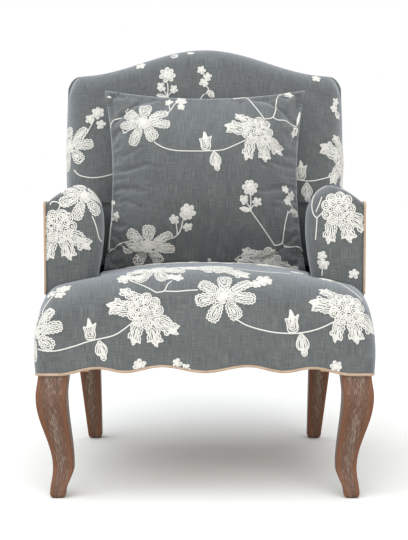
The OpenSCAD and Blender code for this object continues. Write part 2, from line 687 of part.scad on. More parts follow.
function wing_z(y) = frame_z + (wing_l - (y - frame_d) * sin(rake)) / cos(rake);
module outside_arm_panel(left) {
  y0 = arm_y + 2.5;
  y_turn = arm_end(arm_corner_z - arm_fall);
  function top(y) = y < y_turn ? arm_corner_z - 1.5 - arm_fall * (y - arm_y) / arm_len
    : min(arm_corner_z - 1.5 - arm_fall, wing_z(y) - 0.8);
  function rear(z) = raked_y(-cover_t - 0.6, z);
  function point(u, v, x) =
    let (z_guess = lerp(seat_low, arm_corner_z - arm_fall, v), y = lerp(y0, rear(z_guess), u),
         z = lerp(seat_low, top(y), v), bulge = 2.4 * sqrt(max(0, 16 * u * (1 - u) * v * (1 - v))),
         y_side = lerp(y0, rear(z), u))
    [lerp(frame_half, side_rear, clamp01(u / 0.86)) + gap + x * (cover_t + bulge), y_side, z];
  u_steps = [0, 0.05, 0.2, 0.5, 0.8, 0.86, 0.93, 1];
  v_steps = [0, 0.08, 0.35, 0.65, 0.92, 1];
  function side(x) = [for (v = v_steps) [for (u = u_steps) point(u, v, x)]];
  color(fabric_grey) place() sided(left) between(side(1), side(0));
}

// Piping
module seat_piping() {
  side_x = side_half(frame_z) - 2;
  front = 4.2;
  far_x = frame_half + piping_r + 0.7;
  r = corner_low_r - 2;
  low = frame_z - piping_r + 0.7;
  n = 30;
  half = [
    each [for (y = [frame_d - 12, post_y - 10, (frame_d + ear_d) / 2, ear_d + 60])
      [far_x + side_shift(y), y, low]],
    [far_x + 1, ear_d + 40, low],
    [lerp(far_x, side_x, 0.5), ear_d + 15, low], [side_x - 0.5, ear_d - 8, low], [side_x, ear_d - 30, low],
    each [for (a = [0:18:90]) [side_x - r + r * cos(a), front + r - r * sin(a), low]]];
  across = [for (k = [n - 1:-1:-n + 1]) let (x = (side_x - r) * k / n) [x, front, low + scallop(x)]];
  other = [for (i = [len(half) - 1:-1:0]) [-half[i][0], half[i][1], half[i][2]]];
  color(cream) place() tube(concat(half, across, other), piping_r, [0, 0, 1]);
}

module arm_piping(left) {
  x = arm_out + 2.3;
  front = arm_y - 2.3;
  r = 9;
  top = arm_corner_z + 2;
  low = arm_low + 8;
  y_end = arm_end(top - arm_fall) - 3;
  function fall(y) = arm_fall * (y - arm_y) / arm_len;
  path = concat(
    [for (k = [0:6]) [x, front, lerp(low, top - r, k / 6)]],
    [for (a = [15:15:75]) [x, front + r - r * cos(a), top - r + r * sin(a)]],
    [for (k = [0:6]) let (y = lerp(front + r, y_end, k / 6)) [x + side_shift(y), y, top - fall(y)]]);
  color(cream) place() sided(left) tube(path, piping_r, [1, 0, 0]);
}

// Under the seat: thin cloth between the rails, just above the tallest scallop
cloth_t = 1;
module dust_cover() {
  front = rail_inset + rail_t;
  low = frame_z + scallop_h + 1;
  half = [[rail_in - block_w, front], [rail_in, front + block_w], [rail_in, rear_rail_y - block_w],
    [corner_in, rear_rail_y - block_w], [corner_in - block_w, rear_rail_y]];
  color(black_cloth) place() translate([0, 0, low]) linear_extrude(cloth_t) offset(delta = -gap)
    polygon(concat(half, [for (k = [len(half) - 1:-1:0]) [-half[k][0], half[k][1]]]));
}

// Legs: square sections with eased edges, lofted from the glide up to the frame
glide_t = 3;
pin_h = 9;
pin_r = 1.3;
ease = 3;
function square_ring(x0, y0, x1, y1, z, c) = [
  [x0 + c, y0, z], [x1 - c, y0, z], [x1, y0 + c, z], [x1, y1 - c, z],
  [x1 - c, y1, z], [x0 + c, y1, z], [x0, y1 - c, z], [x0, y0 + c, z]];
bevel = 2;
bevel_h = 5;
leg_inset = [[glide_t, foot_in + bevel], [glide_t + bevel_h, foot_in], [ankle_z, ankle_in],
  [knee_z, 0], [frame_z, 5]];
leg_width = [[glide_t, foot_w - 2 * bevel], [glide_t + bevel_h, foot_w], [ankle_z, ankle_w],
  [knee_z, leg_w + 1], [frame_z, leg_w]];

module leg_holes(bolt, foot) {
  translate([bolt[0], bolt[1], frame_z - bolt_in_leg - 1])
    cylinder(h = bolt_in_leg + 2, r = bolt_r + bolt_gap / 2, $fn = 32);
  translate([foot[0], foot[1], glide_t - 1]) cylinder(h = pin_h + 3, r = pin_r + 0.2, $fn = 16);
}

front_foot = [leg_out_x - foot_in - foot_w / 2, leg_front_y + foot_in + foot_w / 2];
rear_foot = [rear_leg_in + rear_foot_w / 2, rear_leg_y + rear_top_w / 2 + rear_kick];

module front_leg(left) {
  n = 26;
  color(oak) place() sided(left) difference() {
    loft([for (k = [-1:n]) let (z = k < 0 ? glide_t : lerp(glide_t + bevel_h, frame_z, k / n),
        o = through(leg_inset, z), w = through(leg_width, z),
        x1 = leg_out_x - o, y0 = leg_front_y + o)
      square_ring(x1 - w, y0, x1, y0 + w, z, ease)]);
    leg_holes(front_bolt, front_foot);
  }
}

module rear_leg(left) {
  color(oak) place() sided(left) difference() {
    loft([for (z = [glide_t, glide_t + bevel_h, frame_z]) let (f = (z - glide_t) / (frame_z - glide_t),
        shrink = z == glide_t ? bevel : 0,
        w = lerp(rear_foot_w, rear_top_w, f) - 2 * shrink,
        x0 = rear_leg_in + shrink,
        y0 = lerp(rear_foot[1] - rear_foot_w / 2, rear_leg_y, f) + shrink)
      square_ring(x0, y0, x0 + w, y0 + w, z, ease)]);
    leg_holes(rear_bolt, rear_foot);
  }
}

module leg_bolts() {
  color(steel) place() at_bolts() translate([0, 0, frame_z - bolt_in_leg])
    cylinder(h = bolt_in_leg + block_h + washer_t + nut_t + 2, r = bolt_r, $fn = 32);
}

washer_t = 1.6;
nut_t = 6.5;
module leg_washers() {
  color(steel) place() at_bolts() translate([0, 0, frame_z + block_h]) difference() {
    cylinder(h = washer_t, r = 10, $fn = 32);
    translate([0, 0, -1]) cylinder(h = washer_t + 2, r = bolt_r + bolt_gap, $fn = 32);
  }
}

module leg_nuts() {
  color(steel) place() at_bolts() translate([0, 0, frame_z + block_h + washer_t]) difference() {
    cylinder(h = nut_t, r = 7.5, $fn = 6);
    translate([0, 0, -1]) cylinder(h = nut_t + 2, r = bolt_r + 0.1, $fn = 32);
  }
}

module glides() {
  color(brown_plastic) place() both() for (p = [front_foot, rear_foot]) translate([p[0], p[1], 0]) {
    cylinder(h = glide_t, r = 11, $fn = 48);
    cylinder(h = glide_t + pin_h, r = pin_r, $fn = 16);
  }
}

// Pillow: it leans along the back and stands on the seat
pillow_y = -(back_t + back_crown + pillow_t / 2);
pillow_foot_y = frame_d + pillow_y * cos(rake) + 0.35 * pillow_h * sin(rake);
pillow_l = (seat_top_z(pillow_foot_y) + 0.7 - frame_z + pillow_y * sin(rake)) / cos(rake) - pillow_draw;
seam = 0.8;
function pillow_point(u, v, side, t) =
  let (x = u * (pillow_w / 2 - t - pillow_draw * (1 - v * v)),
       draw = pillow_draw * (1 - u * u),
       z = pillow_l + lerp(draw + t, pillow_h - draw - t, (v + 1) / 2),
       full = pow((1 - u * u) * (1 - v * v), 0.42))
  [x, pillow_y + side * (seam / (1 + t) + (pillow_t / 2 - seam - t) * full), z];
pillow_steps = [-1, -0.96, -0.84, -0.62, -0.32, 0, 0.32, 0.62, 0.84, 0.96, 1];
module pillow(t, steps) {
  function face(side) = [for (v = steps) [for (u = steps) pillow_point(u, v, side, t)]];
  in_back() between(face(-1), face(1));
}
module pillow_cover() {
  color(fabric_grey) place() difference() {
    pillow(0, pillow_steps);
    pillow(cover_t / 2, pillow_steps);
  }
}
module pillow_insert() {
  color(white_cloth) place() pillow(cover_t + gap, pillow_steps);
}

front_rail();
side_rail(true);  // left_side_rail
side_rail(false);  // right_side_rail
rear_rail();
corner_blocks();
back_post(true);  // left_back_post
back_post(false);  // right_back_post
crest_rail();
lower_back_rail();
arm_post(true);  // left_arm_post
arm_post(false);  // right_arm_post
arm_rail(true);  // left_arm_rail
arm_rail(false);  // right_arm_rail
arm_liner(true);  // left_arm_liner
arm_liner(false);  // right_arm_liner
seat_springs();
spring_clips();
spring_tie_wires();
spring_cover();
back_webbing();
edge_roll();
rail_padding();
seat_foam();
back_foam();
arm_foam(true);  // left_arm_foam
arm_foam(false);  // right_arm_foam
arm_front_pad(true);  // left_arm_front_pad
arm_front_pad(false);  // right_arm_front_pad
seat_cover();
seat_side_panels();
inside_back_cover();
outside_back_panel();
arm_cover(true);  // left_arm_cover
arm_cover(false);  // right_arm_cover
outside_arm_panel(true);  // left_outside_arm_panel
outside_arm_panel(false);  // right_outside_arm_panel
seat_piping();
arm_piping(true);  // left_arm_piping
arm_piping(false);  // right_arm_piping
dust_cover();
front_leg(true);  // left_front_leg
front_leg(false);  // right_front_leg
rear_leg(true);  // left_rear_leg
rear_leg(false);  // right_rear_leg
leg_bolts();
leg_washers();
leg_nuts();
glides();
pillow_cover();
pillow_insert();
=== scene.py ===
"""Looks of an upholstered accent chair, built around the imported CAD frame.

Shapes are worked out in millimetres in the chair's own frame, where y runs back from the seat's
front, and become metres in the row frame when a mesh is made.
"""

from __future__ import annotations

import json
import logging
import math
from collections.abc import Callable, Iterable, Sequence
from dataclasses import dataclass, field
from enum import Enum

import bpy
import numpy as np
from mathutils import Matrix, Vector
from mathutils.bvhtree import BVHTree

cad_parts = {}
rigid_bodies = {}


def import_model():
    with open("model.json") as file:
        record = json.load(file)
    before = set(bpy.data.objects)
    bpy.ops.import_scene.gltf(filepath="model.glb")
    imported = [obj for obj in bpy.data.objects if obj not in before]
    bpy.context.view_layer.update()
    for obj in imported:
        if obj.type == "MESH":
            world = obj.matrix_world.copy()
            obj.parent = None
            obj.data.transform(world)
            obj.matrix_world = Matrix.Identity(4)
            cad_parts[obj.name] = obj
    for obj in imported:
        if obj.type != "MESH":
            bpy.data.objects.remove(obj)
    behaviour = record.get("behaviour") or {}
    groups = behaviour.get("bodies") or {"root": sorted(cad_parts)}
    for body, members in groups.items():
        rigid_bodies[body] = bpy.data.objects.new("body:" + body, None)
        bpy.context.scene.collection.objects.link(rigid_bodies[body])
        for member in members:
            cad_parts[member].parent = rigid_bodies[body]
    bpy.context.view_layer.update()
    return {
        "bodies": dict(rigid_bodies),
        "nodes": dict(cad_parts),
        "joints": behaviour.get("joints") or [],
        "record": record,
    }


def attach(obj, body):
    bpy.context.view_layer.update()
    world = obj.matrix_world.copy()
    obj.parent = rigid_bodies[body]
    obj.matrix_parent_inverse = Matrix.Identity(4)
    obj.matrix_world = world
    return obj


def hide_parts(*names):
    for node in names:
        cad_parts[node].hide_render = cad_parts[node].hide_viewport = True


LOG = logging.getLogger("accent_chair")
MM = 0.001
LINED_CLOTH_MM = 2.0
PIPING_SIDES = 12
CHAIR = "chair"
PILLOW = "pillow"

Place = tuple[float, float]


# Sizes


@dataclass(frozen=True)
class ChairForm:
    """Main sizes in millimetres, the same as in the part's source."""

    frame_z: float = 264.0
    seat_w: float = 698.0
    frame_d: float = 625.0
    seat_rise: float = 209.0
    crest_y: float = 105.0
    seat_fall: float = 37.0
    seat_crown: float = 45.0
    face_h: float = 144.0
    corner_low_r: float = 14.0
    corner_top_r: float = 36.0
    scallop_h: float = 18.0
    ear_d: float = 111.0
    side_pad: float = 17.0
    rake: float = math.radians(10.2)
    back_h: float = 697.0
    camel_rise: float = 65.0
    back_w: float = 678.0
    back_t: float = 100.0
    back_crown: float = 22.0
    back_edge_r: float = 42.0
    arm_rise: float = 378.0
    arm_corner: float = 36.0
    arm_w: float = 119.5
    arm_flare: float = 36.0
    arm_fall: float = 20.0
    arm_y: float = 118.0
    arm_front_r: float = 44.0
    arm_edge_r: float = 16.0
    piping_r: float = 2.6
    sewn_gap: float = 0.4

    @property
    def depth(self) -> float:
        """Depth over all."""
        return self.frame_d + self.back_h * math.sin(self.rake)

    @property
    def frame_half(self) -> float:
        """Half the width over the wooden frame."""
        return self.seat_w / 2 - self.side_pad

    @property
    def seat_z(self) -> float:
        """Height of the seat's crest."""
        return self.frame_z + self.seat_rise

    @property
    def face_z(self) -> float:
        """Height at which the front face turns into the waterfall."""
        return self.frame_z + self.face_h

    @property
    def seat_low(self) -> float:
        """Height of the front cover's lower edge at the corners."""
        return self.frame_z + 2.0

    @property
    def seat_rear_y(self) -> float:
        """Where the seat cover ends under the back."""
        return self.frame_d - 27.0

    @property
    def shoulder_l(self) -> float:
        """Height of the shoulders along the raked back."""
        return self.back_h - self.camel_rise

    @property
    def arm_out(self) -> float:
        """Distance of the piped outer arm corner from the middle."""
        return self.frame_half + 1.0

    @property
    def arm_in(self) -> float:
        """Distance of the arm's inside from the middle, at the front."""
        return self.arm_out - self.arm_w

    @property
    def arm_top(self) -> float:
        """Height of the arm's crown at the front."""
        return self.frame_z + self.arm_rise

    @property
    def arm_corner_z(self) -> float:
        """Height of the piped outer corner at the front."""
        return self.arm_top - self.arm_corner

    @property
    def arm_low(self) -> float:
        """Lowest height of the arm cover."""
        return self.face_z

    def raked_y(self, y: float, z: np.ndarray | float) -> np.ndarray | float:
        """Y at height z on the plane that lies y behind the outside back."""
        return self.frame_d + y / math.cos(self.rake) + (z - self.frame_z) * math.tan(self.rake)

    @property
    def arm_plane(self) -> float:
        """How far in front of the outside back the arms end."""
        return self.back_t + self.back_crown * 0.55

    @property
    def arm_len(self) -> float:
        """Length of the arm's top."""
        return float(self.raked_y(-self.arm_plane, self.arm_top)) - self.arm_y

    @property
    def wing_l(self) -> float:
        """Height along the raked back above which it is wider than the arms' room."""
        drop = self.arm_corner_z - self.arm_fall + 4 - self.frame_z - self.back_t * math.sin(self.rake)
        return drop / math.cos(self.rake)

    def in_back(self, x: np.ndarray, y: np.ndarray, z: np.ndarray) -> np.ndarray:
        """Turn points of the raked frame of the back into points of the chair.

        Args:
            x: Sideways places.
            y: Distances behind the outside back, so negative forward.
            z: Heights along the back.

        Returns:
            Points as an array whose last axis is x, y, z.
        """
        c, s = math.cos(self.rake), math.sin(self.rake)
        return np.stack([x, self.frame_d + y * c + z * s, self.frame_z - y * s + z * c], axis=-1)

    def to_metres(self, points: np.ndarray) -> np.ndarray:
        """Points of the chair in millimetres as metres in the row frame."""
        return (np.asarray(points, float) - [0.0, self.depth / 2, 0.0]) * MM


FORM = ChairForm()


# Small helpers


def srgb(code: str) -> tuple[float, float, float, float]:
    """Turn an sRGB hex value into linear RGBA.

    Args:
        code: Colour as six hex digits.

    Returns:
        The linear colour with an alpha of one.
    """
    parts = [int(code[k : k + 2], 16) / 255 for k in (0, 2, 4)]
    linear = [p / 12.92 if p <= 0.04045 else ((p + 0.055) / 1.055) ** 2.4 for p in parts]
    return (*linear, 1.0)


def blend_values(a: np.ndarray, b: np.ndarray, f: np.ndarray) -> np.ndarray:
    """Value between a and b at share f."""
    return a + (b - a) * f


def through(knots: Sequence[tuple[float, float]], x: np.ndarray) -> np.ndarray:
    """Smooth curve through knots that is flat at each of them.

    Args:
        knots: Pairs of place and value, in rising order.
        x: Places to read.

    Returns:
        The values at x.
    """
    x = np.asarray(x, float)
    places, values = np.array(knots, float).T
    i = np.clip(np.searchsorted(places, x, side="right") - 1, 0, len(places) - 2)
    f = np.clip((x - places[i]) / (places[i + 1] - places[i]), 0, 1)
    return blend_values(values[i], values[i + 1], (1 - np.cos(math.pi * f)) / 2)


def slowing(start: float, stop: float, count: int) -> np.ndarray:
    """Places from start to stop whose steps shrink towards the stop."""
    return start + (stop - start) * np.sin(np.linspace(0, math.pi / 2, count))


def rounded_fall(square: np.ndarray) -> np.ndarray:
    """Fall of an edge rounded with a radius of one, by the square of the way out over it."""
    return 1 - np.sqrt(np.clip(1 - square, 0, 1))


def bulged(u: np.ndarray, v: np.ndarray) -> np.ndarray:
    """Height of a filled panel that is one in its middle and zero at its edges, at shares 0 to 1."""
    return np.sqrt(np.clip(16 * u * (1 - u) * v * (1 - v), 0, 1))


def rounded_curve(points: np.ndarray, s: np.ndarray) -> np.ndarray:
    """Rounded curve through points, read at s from 0 to the last index.

    Args:
        points: The points, one row each.
        s: Places along the curve.

    Returns:
        One point per place.
    """
    p = np.asarray(points, float)
    s = np.clip(np.asarray(s, float), 0, len(p) - 1)
    i = np.minimum(s.astype(int), len(p) - 2)
    f = (s - i)[..., None]
    a, b = p[np.maximum(i - 1, 0)], p[i]
    c, d = p[i + 1], p[np.minimum(i + 2, len(p) - 1)]
    return 0.5 * (2 * b + (c - a) * f + (2 * a - 5 * b + 4 * c - d) * f**2 + (3 * b - a - 3 * c + d) * f**3)


def run_length(points: np.ndarray, axis: int) -> np.ndarray:
    """Distance run along one axis of a grid of points, from its first row or column."""
    steps = np.linalg.norm(np.diff(points, axis=axis), axis=-1)
    start = np.zeros_like(np.take(steps, [0], axis=axis))
    return np.concatenate([start, np.cumsum(steps, axis=axis)], axis=axis)


# Meshes


@dataclass
class Cloth:
    """A panel of fabric: a grid of points and each point's place on the flat cloth, in millimetres."""

    points: np.ndarray
    flat: np.ndarray

    @classmethod
    def from_points(cls, points: np.ndarray) -> Cloth:
        """Lay a grid flat by the distances along its rows and columns.

        Args:
            points: Grid of points, rows by columns by three.

        Returns:
            The panel.
        """
        across = run_length(points, 1)
        middle = points.shape[1] // 2
        across = across - across[:, middle : middle + 1]
        up = run_length(points, 0)
        up = np.broadcast_to(up[:, middle : middle + 1], across.shape)
        return cls(points, np.stack([across, up], axis=-1))

    def finer(self) -> Cloth:
        """The same cloth with a smooth point between every two."""
        grids = []
        for g in (self.points, self.flat):
            for _ in range(2):
                p = np.concatenate([2 * g[:1] - g[1:2], g, 2 * g[-1:] - g[-2:-1]])
                fine = np.empty((2 * len(g) - 1, *g.shape[1:]))
                fine[::2], fine[1::2] = g, (9 * (p[1:-2] + p[2:-1]) - p[:-3] - p[3:]) / 16
                g = fine.swapaxes(0, 1)
            grids.append(g)
        return Cloth(*grids)

    def quads(self, inside: Sequence[float] | None = None) -> np.ndarray:
        """Corner indices of the grid's faces.

        Args:
            inside: A point in the stuffing, which the faces turn their backs to; none to leave them.

        Returns:
            Four indices for each face.
        """
        rows, cols = self.points.shape[:2]
        k = (np.arange(rows - 1)[:, None] * cols + np.arange(cols - 1)[None, :]).ravel()
        faces = np.stack([k, k + 1, k + cols + 1, k + cols], axis=-1)
        if inside is not None:
            p = self.points.reshape(-1, 3)
            normals = np.cross(p[faces[:, 2]] - p[faces[:, 0]], p[faces[:, 3]] - p[faces[:, 1]])
            if np.sum(normals * (p[faces].mean(1) - np.asarray(inside))) < 0:
                faces = faces[:, ::-1]
        return faces


def build_mesh(
    name: str,
    points: np.ndarray,
    faces: np.ndarray | Sequence[Sequence[int]],
    uv: np.ndarray,
) -> bpy.types.Object:
    """Make a mesh object that shades smoothly.

    Args:
        name: Name of the piece.
        points: Points of the chair in millimetres, one row each.
        faces: Corner indices of each face.
        uv: Place of each point on the flat material, in millimetres.

    Returns:
        The object, linked to the scene.
    """
    data = bpy.data.meshes.new(name)
    corner_lists = faces.tolist() if isinstance(faces, np.ndarray) else faces
    data.from_pydata(FORM.to_metres(points).tolist(), [], corner_lists)
    layer = data.uv_layers.new(name="flat")
    corners = np.empty(len(data.loops), np.int64)
    data.loops.foreach_get("vertex_index", corners)
    layer.data.foreach_set("uv", (np.asarray(uv, float)[corners] * MM).astype(np.float32).ravel())
    data.polygons.foreach_set("use_smooth", [True] * len(data.polygons))
    data.update()
    return link_piece(name, data)


def link_piece(name: str, data: bpy.types.ID) -> bpy.types.Object:
    """Put an object with some data into the scene."""
    piece = bpy.data.objects.new(name, data)
    bpy.context.scene.collection.objects.link(piece)
    return piece


def apply_modifiers(piece: bpy.types.Object) -> None:
    """Turn a piece's modifiers into plain mesh."""
    graph = bpy.context.evaluated_depsgraph_get()
    data = bpy.data.meshes.new_from_object(piece.evaluated_get(graph), depsgraph=graph)
    old, name = piece.data, piece.data.name
    piece.modifiers.clear()
    piece.data = data
    bpy.data.meshes.remove(old)
    data.name = name


def cloth_piece(name: str, cloth: Cloth, inside: Sequence[float]) -> bpy.types.Object:
    """Make a closed piece of a panel, as thick as fabric with its lining.

    Args:
        name: Name of the piece.
        cloth: The panel.
        inside: A point in the stuffing behind it.

    Returns:
        The piece.
    """
    points, flat = cloth.points.reshape(-1, 3), cloth.flat.reshape(-1, 2)
    piece = build_mesh(name, points, cloth.quads(inside), flat)
    shell = piece.modifiers.new("lining", "SOLIDIFY")
    shell.thickness = LINED_CLOTH_MM * MM
    shell.offset = -1
    apply_modifiers(piece)
    return piece


def sweep(
    paths: Iterable[np.ndarray],
    normals: Iterable[np.ndarray],
    section: np.ndarray,
) -> tuple[np.ndarray, np.ndarray, np.ndarray]:
    """Sweep a section along several paths, with closed ends where it has an even number of points.

    Args:
        paths: Paths in millimetres, one row per point.
        normals: The direction of the section's second axis at each point.
        section: Points of the section: sideways and along the normal, in millimetres.

    Returns:
        Points, four-cornered faces and flat places (round the section, along the path).
    """
    points, faces, flat, base = [], [], [], 0
    m = len(section)
    girth = np.linalg.norm(np.diff(section, axis=0, append=section[:1]), axis=1)
    around = np.concatenate([[0], np.cumsum(girth)[:-1]])
    for path, normal in zip(paths, normals):
        n = len(path)
        along = np.gradient(path, axis=0)
        along /= np.linalg.norm(along, axis=1, keepdims=True) + 1e-9
        side = np.cross(along, normal)
        side /= np.linalg.norm(side, axis=1, keepdims=True) + 1e-9
        up = np.cross(side, along)
        ring = path[:, None] + section[None, :, :1] * side[:, None] + section[None, :, 1:] * up[:, None]
        points.append(ring.reshape(-1, 3))
        run = np.concatenate([[0], np.cumsum(np.linalg.norm(np.diff(path, axis=0), axis=1))])
        flat.append(np.stack(np.broadcast_arrays(around[None, :], run[:, None]), -1).reshape(-1, 2))
        faces.append(ring_quads(n, m) + base)
        if m % 2 == 0:
            for start, turn in ((0, 1), ((n - 1) * m, -1)):
                for k in range(m // 2 - 1):
                    cap = [start + k, start + m - 1 - k, start + m - 2 - k, start + k + 1]
                    faces.append(np.array([cap[::turn]]) + base)
        base += n * m
    return np.concatenate(points), np.concatenate(faces), np.concatenate(flat)


def ring_quads(rows: int, m: int) -> np.ndarray:
    """Corner indices of the faces between rows of m points, each row a closed ring."""
    i, j = np.arange(rows - 1)[:, None] * m, np.arange(m)[None, :]
    k = (j + 1) % m
    return np.stack([i + j, i + k, i + m + k, i + m + j], -1).reshape(-1, 4)


def piping_welt(
    name: str, path: np.ndarray, up: Sequence[float], radius: float, finish: bpy.types.Material
) -> bpy.types.Object:
    """Make a round piping along a path.

    Args:
        name: Its name, without the last word.
        path: Its middle line, one row per point.
        up: A direction across the whole path.
        radius: Its radius in millimetres.
        finish: Its material.

    Returns:
        The piece.
    """
    a = 2 * math.pi * np.arange(PIPING_SIDES) / PIPING_SIDES
    section = np.stack([radius * np.cos(a), radius * np.sin(a)], -1)
    piece = build_mesh(f"{name}_welt", *sweep([path], [np.tile(up, (len(path), 1))], section))
    dress(piece, finish)
    return piece


# Materials


class Shader:
    """The node tree of a material or a world, and the one way in which nodes are added to it."""

    def __init__(self, owner: bpy.types.Material | bpy.types.World) -> None:
        """Start an empty tree in owner."""
        self.owner = owner
        owner.use_nodes = True
        owner.node_tree.nodes.clear()

    def add(
        self,
        kind: str,
        links: dict[str | int, object] | None = None,
        out: str | int = 0,
        stops: Sequence[tuple[float, str]] = (),
        **settings: object,
    ) -> bpy.types.NodeSocket | None:
        """Add a node.

        Args:
            kind: Blender's name of the node, without "ShaderNode".
            links: Value or output socket for each input, by name or number.
            out: The output that is wanted.
            stops: Places and colours of a colour ramp, from 0 to 1.
            settings: Attributes of the node.

        Returns:
            The wanted output of the new node.
        """
        node = self.owner.node_tree.nodes.new("ShaderNode" + kind)
        for key, value in settings.items():
            setattr(node, key, value)
        for key, value in (links or {}).items():
            if isinstance(value, bpy.types.NodeSocket):
                self.owner.node_tree.links.new(value, node.inputs[key])
            else:
                node.inputs[key].default_value = value
        for place, _ in stops[1:-1]:
            node.color_ramp.elements.new(place)
        for k, (_, code) in enumerate(stops):
            node.color_ramp.elements[k].color = srgb(code)
        return node.outputs[out] if len(node.outputs) else None

    def finish(self, surface: bpy.types.NodeSocket) -> bpy.types.Material | bpy.types.World:
        """Join the shader to the tree's output and return the tree's owner."""
        world = isinstance(self.owner, bpy.types.World)
        self.add("OutputWorld" if world else "OutputMaterial", {0: surface})
        return self.owner

    def cover(
        self,
        colour: bpy.types.NodeSocket,
        height: bpy.types.NodeSocket,
        strength: float,
        relief_mm: float,
        values: dict[str | int, object],
    ) -> bpy.types.Material:
        """Close the tree with one surface.

        Args:
            colour: Its colour.
            height: Its relief, from 0 to about 1.
            strength: How strongly the relief shows.
            relief_mm: Height of the relief.
            values: Its other inputs, such as roughness and sheen.

        Returns:
            The material.
        """
        bump = self.add("Bump", {"Height": height, "Strength": strength, "Distance": relief_mm * MM})
        links = {"Base Color": colour, "Normal": bump, **values}
        return self.finish(self.add("BsdfPrincipled", links))

    def noise(
        self,
        flat: bpy.types.NodeSocket,
        sizes_mm: Sequence[float],
        values: dict[str | int, object],
        seed: float = 0.0,
    ) -> bpy.types.NodeSocket:
        """Noise in patches.

        Args:
            flat: Places on the material, in metres.
            sizes_mm: Width, length and, for a solid, depth of the patches.
            values: Its other inputs, such as detail.
            seed: Shift of the places.

        Returns:
            The noise, from 0 to 1.
        """
        scale = [1 / (size * MM) for size in sizes_mm]
        scale += [1.0] * (3 - len(scale))
        place = self.add("Mapping", {"Vector": flat, "Location": (seed, seed, seed), "Scale": scale})
        return self.add("TexNoise", {"Vector": place, "Scale": 1.0, **values})

    def wave(self, along: bpy.types.NodeSocket, length_mm: float) -> bpy.types.NodeSocket:
        """Sine wave of a given length over places in metres, from -1 to 1."""
        angle = self.add("Math", {0: along, 1: 2 * math.pi / (length_mm * MM)}, operation="MULTIPLY")
        return self.add("Math", {0: angle}, operation="SINE")

    def weave(self, flat: bpy.types.NodeSocket, length_mm: float) -> bpy.types.NodeSocket:
        """Relief of a plain weave whose pattern repeats at a given length, from -1 to 1."""
        warp, weft = (self.wave(self.add("SeparateXYZ", {0: flat}, out=axis), length_mm) for axis in (0, 1))
        return self.add("Math", {0: warp, 1: weft}, operation="MULTIPLY")

    def toned(
        self, value: bpy.types.NodeSocket, low: float, high: float, *codes: str, middle: float = 0.5
    ) -> bpy.types.NodeSocket:
        """Colour that runs through two or three tones as a value rises.

        Args:
            value: The value.
            low: Where the first tone ends.
            high: Where the last tone starts.
            codes: The tones.
            middle: Place of the middle one of three tones, from 0 to 1.

        Returns:
            The colour.
        """
        share = self.add("MapRange", {"Value": value, "From Min": low, "From Max": high})
        places = (0.0, 1.0) if len(codes) == 2 else (0.0, middle, 1.0)
        return self.add("ValToRGB", {"Fac": share}, stops=tuple(zip(places, codes)))


@dataclass(frozen=True)
class SlubLinen:
    """Upholstery linen, yarn-dyed and plain-woven from uneven yarns.

    The eye sees a matte mid grey with fine lighter streaks where the yarns are thick, and a pale bloom
    at a low angle. The yarns are drawn coarser than real ones, so that the weave shows.
    """

    base: str = "4E504E"
    thick_yarn: str = "6C6F6E"
    hollow: str = "373937"
    gloss_tint: str = "E4ECF8"
    sheen_tint: str = "E2E9F4"
    yarn_mm: float = 0.8
    slub_len_mm: float = 40.0
    slub_w_mm: float = 1.0
    relief_mm: float = 0.5
    roughness: float = 0.72
    gloss: float = 0.35
    sheen: float = 0.62
    sheen_roughness: float = 0.57
    tones: tuple[float, float] = (0.36, 0.66)
    base_place: float = 0.45
    painted_weave_shade: tuple[float, float] = (0.86, 1.05)
    slub_relief: float = 0.8
    relief_shows: float = 0.5

    def material(self) -> bpy.types.Material:
        """Build the node material, which reads the piece's flat cloth places."""
        s = Shader(bpy.data.materials.new("slub_linen"))
        flat = s.add("UVMap", uv_map="flat")
        wide, long = self.slub_w_mm, self.slub_len_mm
        streaks: bpy.types.NodeSocket | float = 0.0
        for sizes, seed, share in (
            ((wide, long), 1.0, 0.5),
            ((long * 0.8, wide), 7.0, 0.4),
            ((long, long * 2), 3.0, 0.1),
        ):
            noise = s.noise(flat, sizes, {"Detail": 2.0, "Roughness": 0.6}, seed)
            streaks = s.add("Math", {0: noise, 1: share, 2: streaks}, operation="MULTIPLY_ADD")
        codes = (self.hollow, self.base, self.thick_yarn)
        tone = s.toned(streaks, *self.tones, *codes, middle=self.base_place)
        # painted shade: the weave's relief also darkens the colour in its hollows and lightens it on its
        # crossings
        weave = s.add(
            "Math", {0: s.weave(flat, 2 * self.yarn_mm), 1: 0.5, 2: 0.5}, operation="MULTIPLY_ADD"
        )
        low, high = self.painted_weave_shade
        shade = s.add("MapRange", {"Value": weave, "To Min": low, "To Max": high})
        colour = s.add("VectorMath", {0: tone, "Scale": shade}, operation="SCALE")
        relief = s.add("Math", {0: streaks, 1: self.slub_relief, 2: weave}, operation="MULTIPLY_ADD")
        values = {
            "Roughness": self.roughness,
            "Specular IOR Level": self.gloss,
            "Specular Tint": srgb(self.gloss_tint),
            "Sheen Weight": self.sheen,
            "Sheen Roughness": self.sheen_roughness,
            "Sheen Tint": srgb(self.sheen_tint),
        }
        return s.cover(colour, relief, self.relief_shows, self.relief_mm, values)


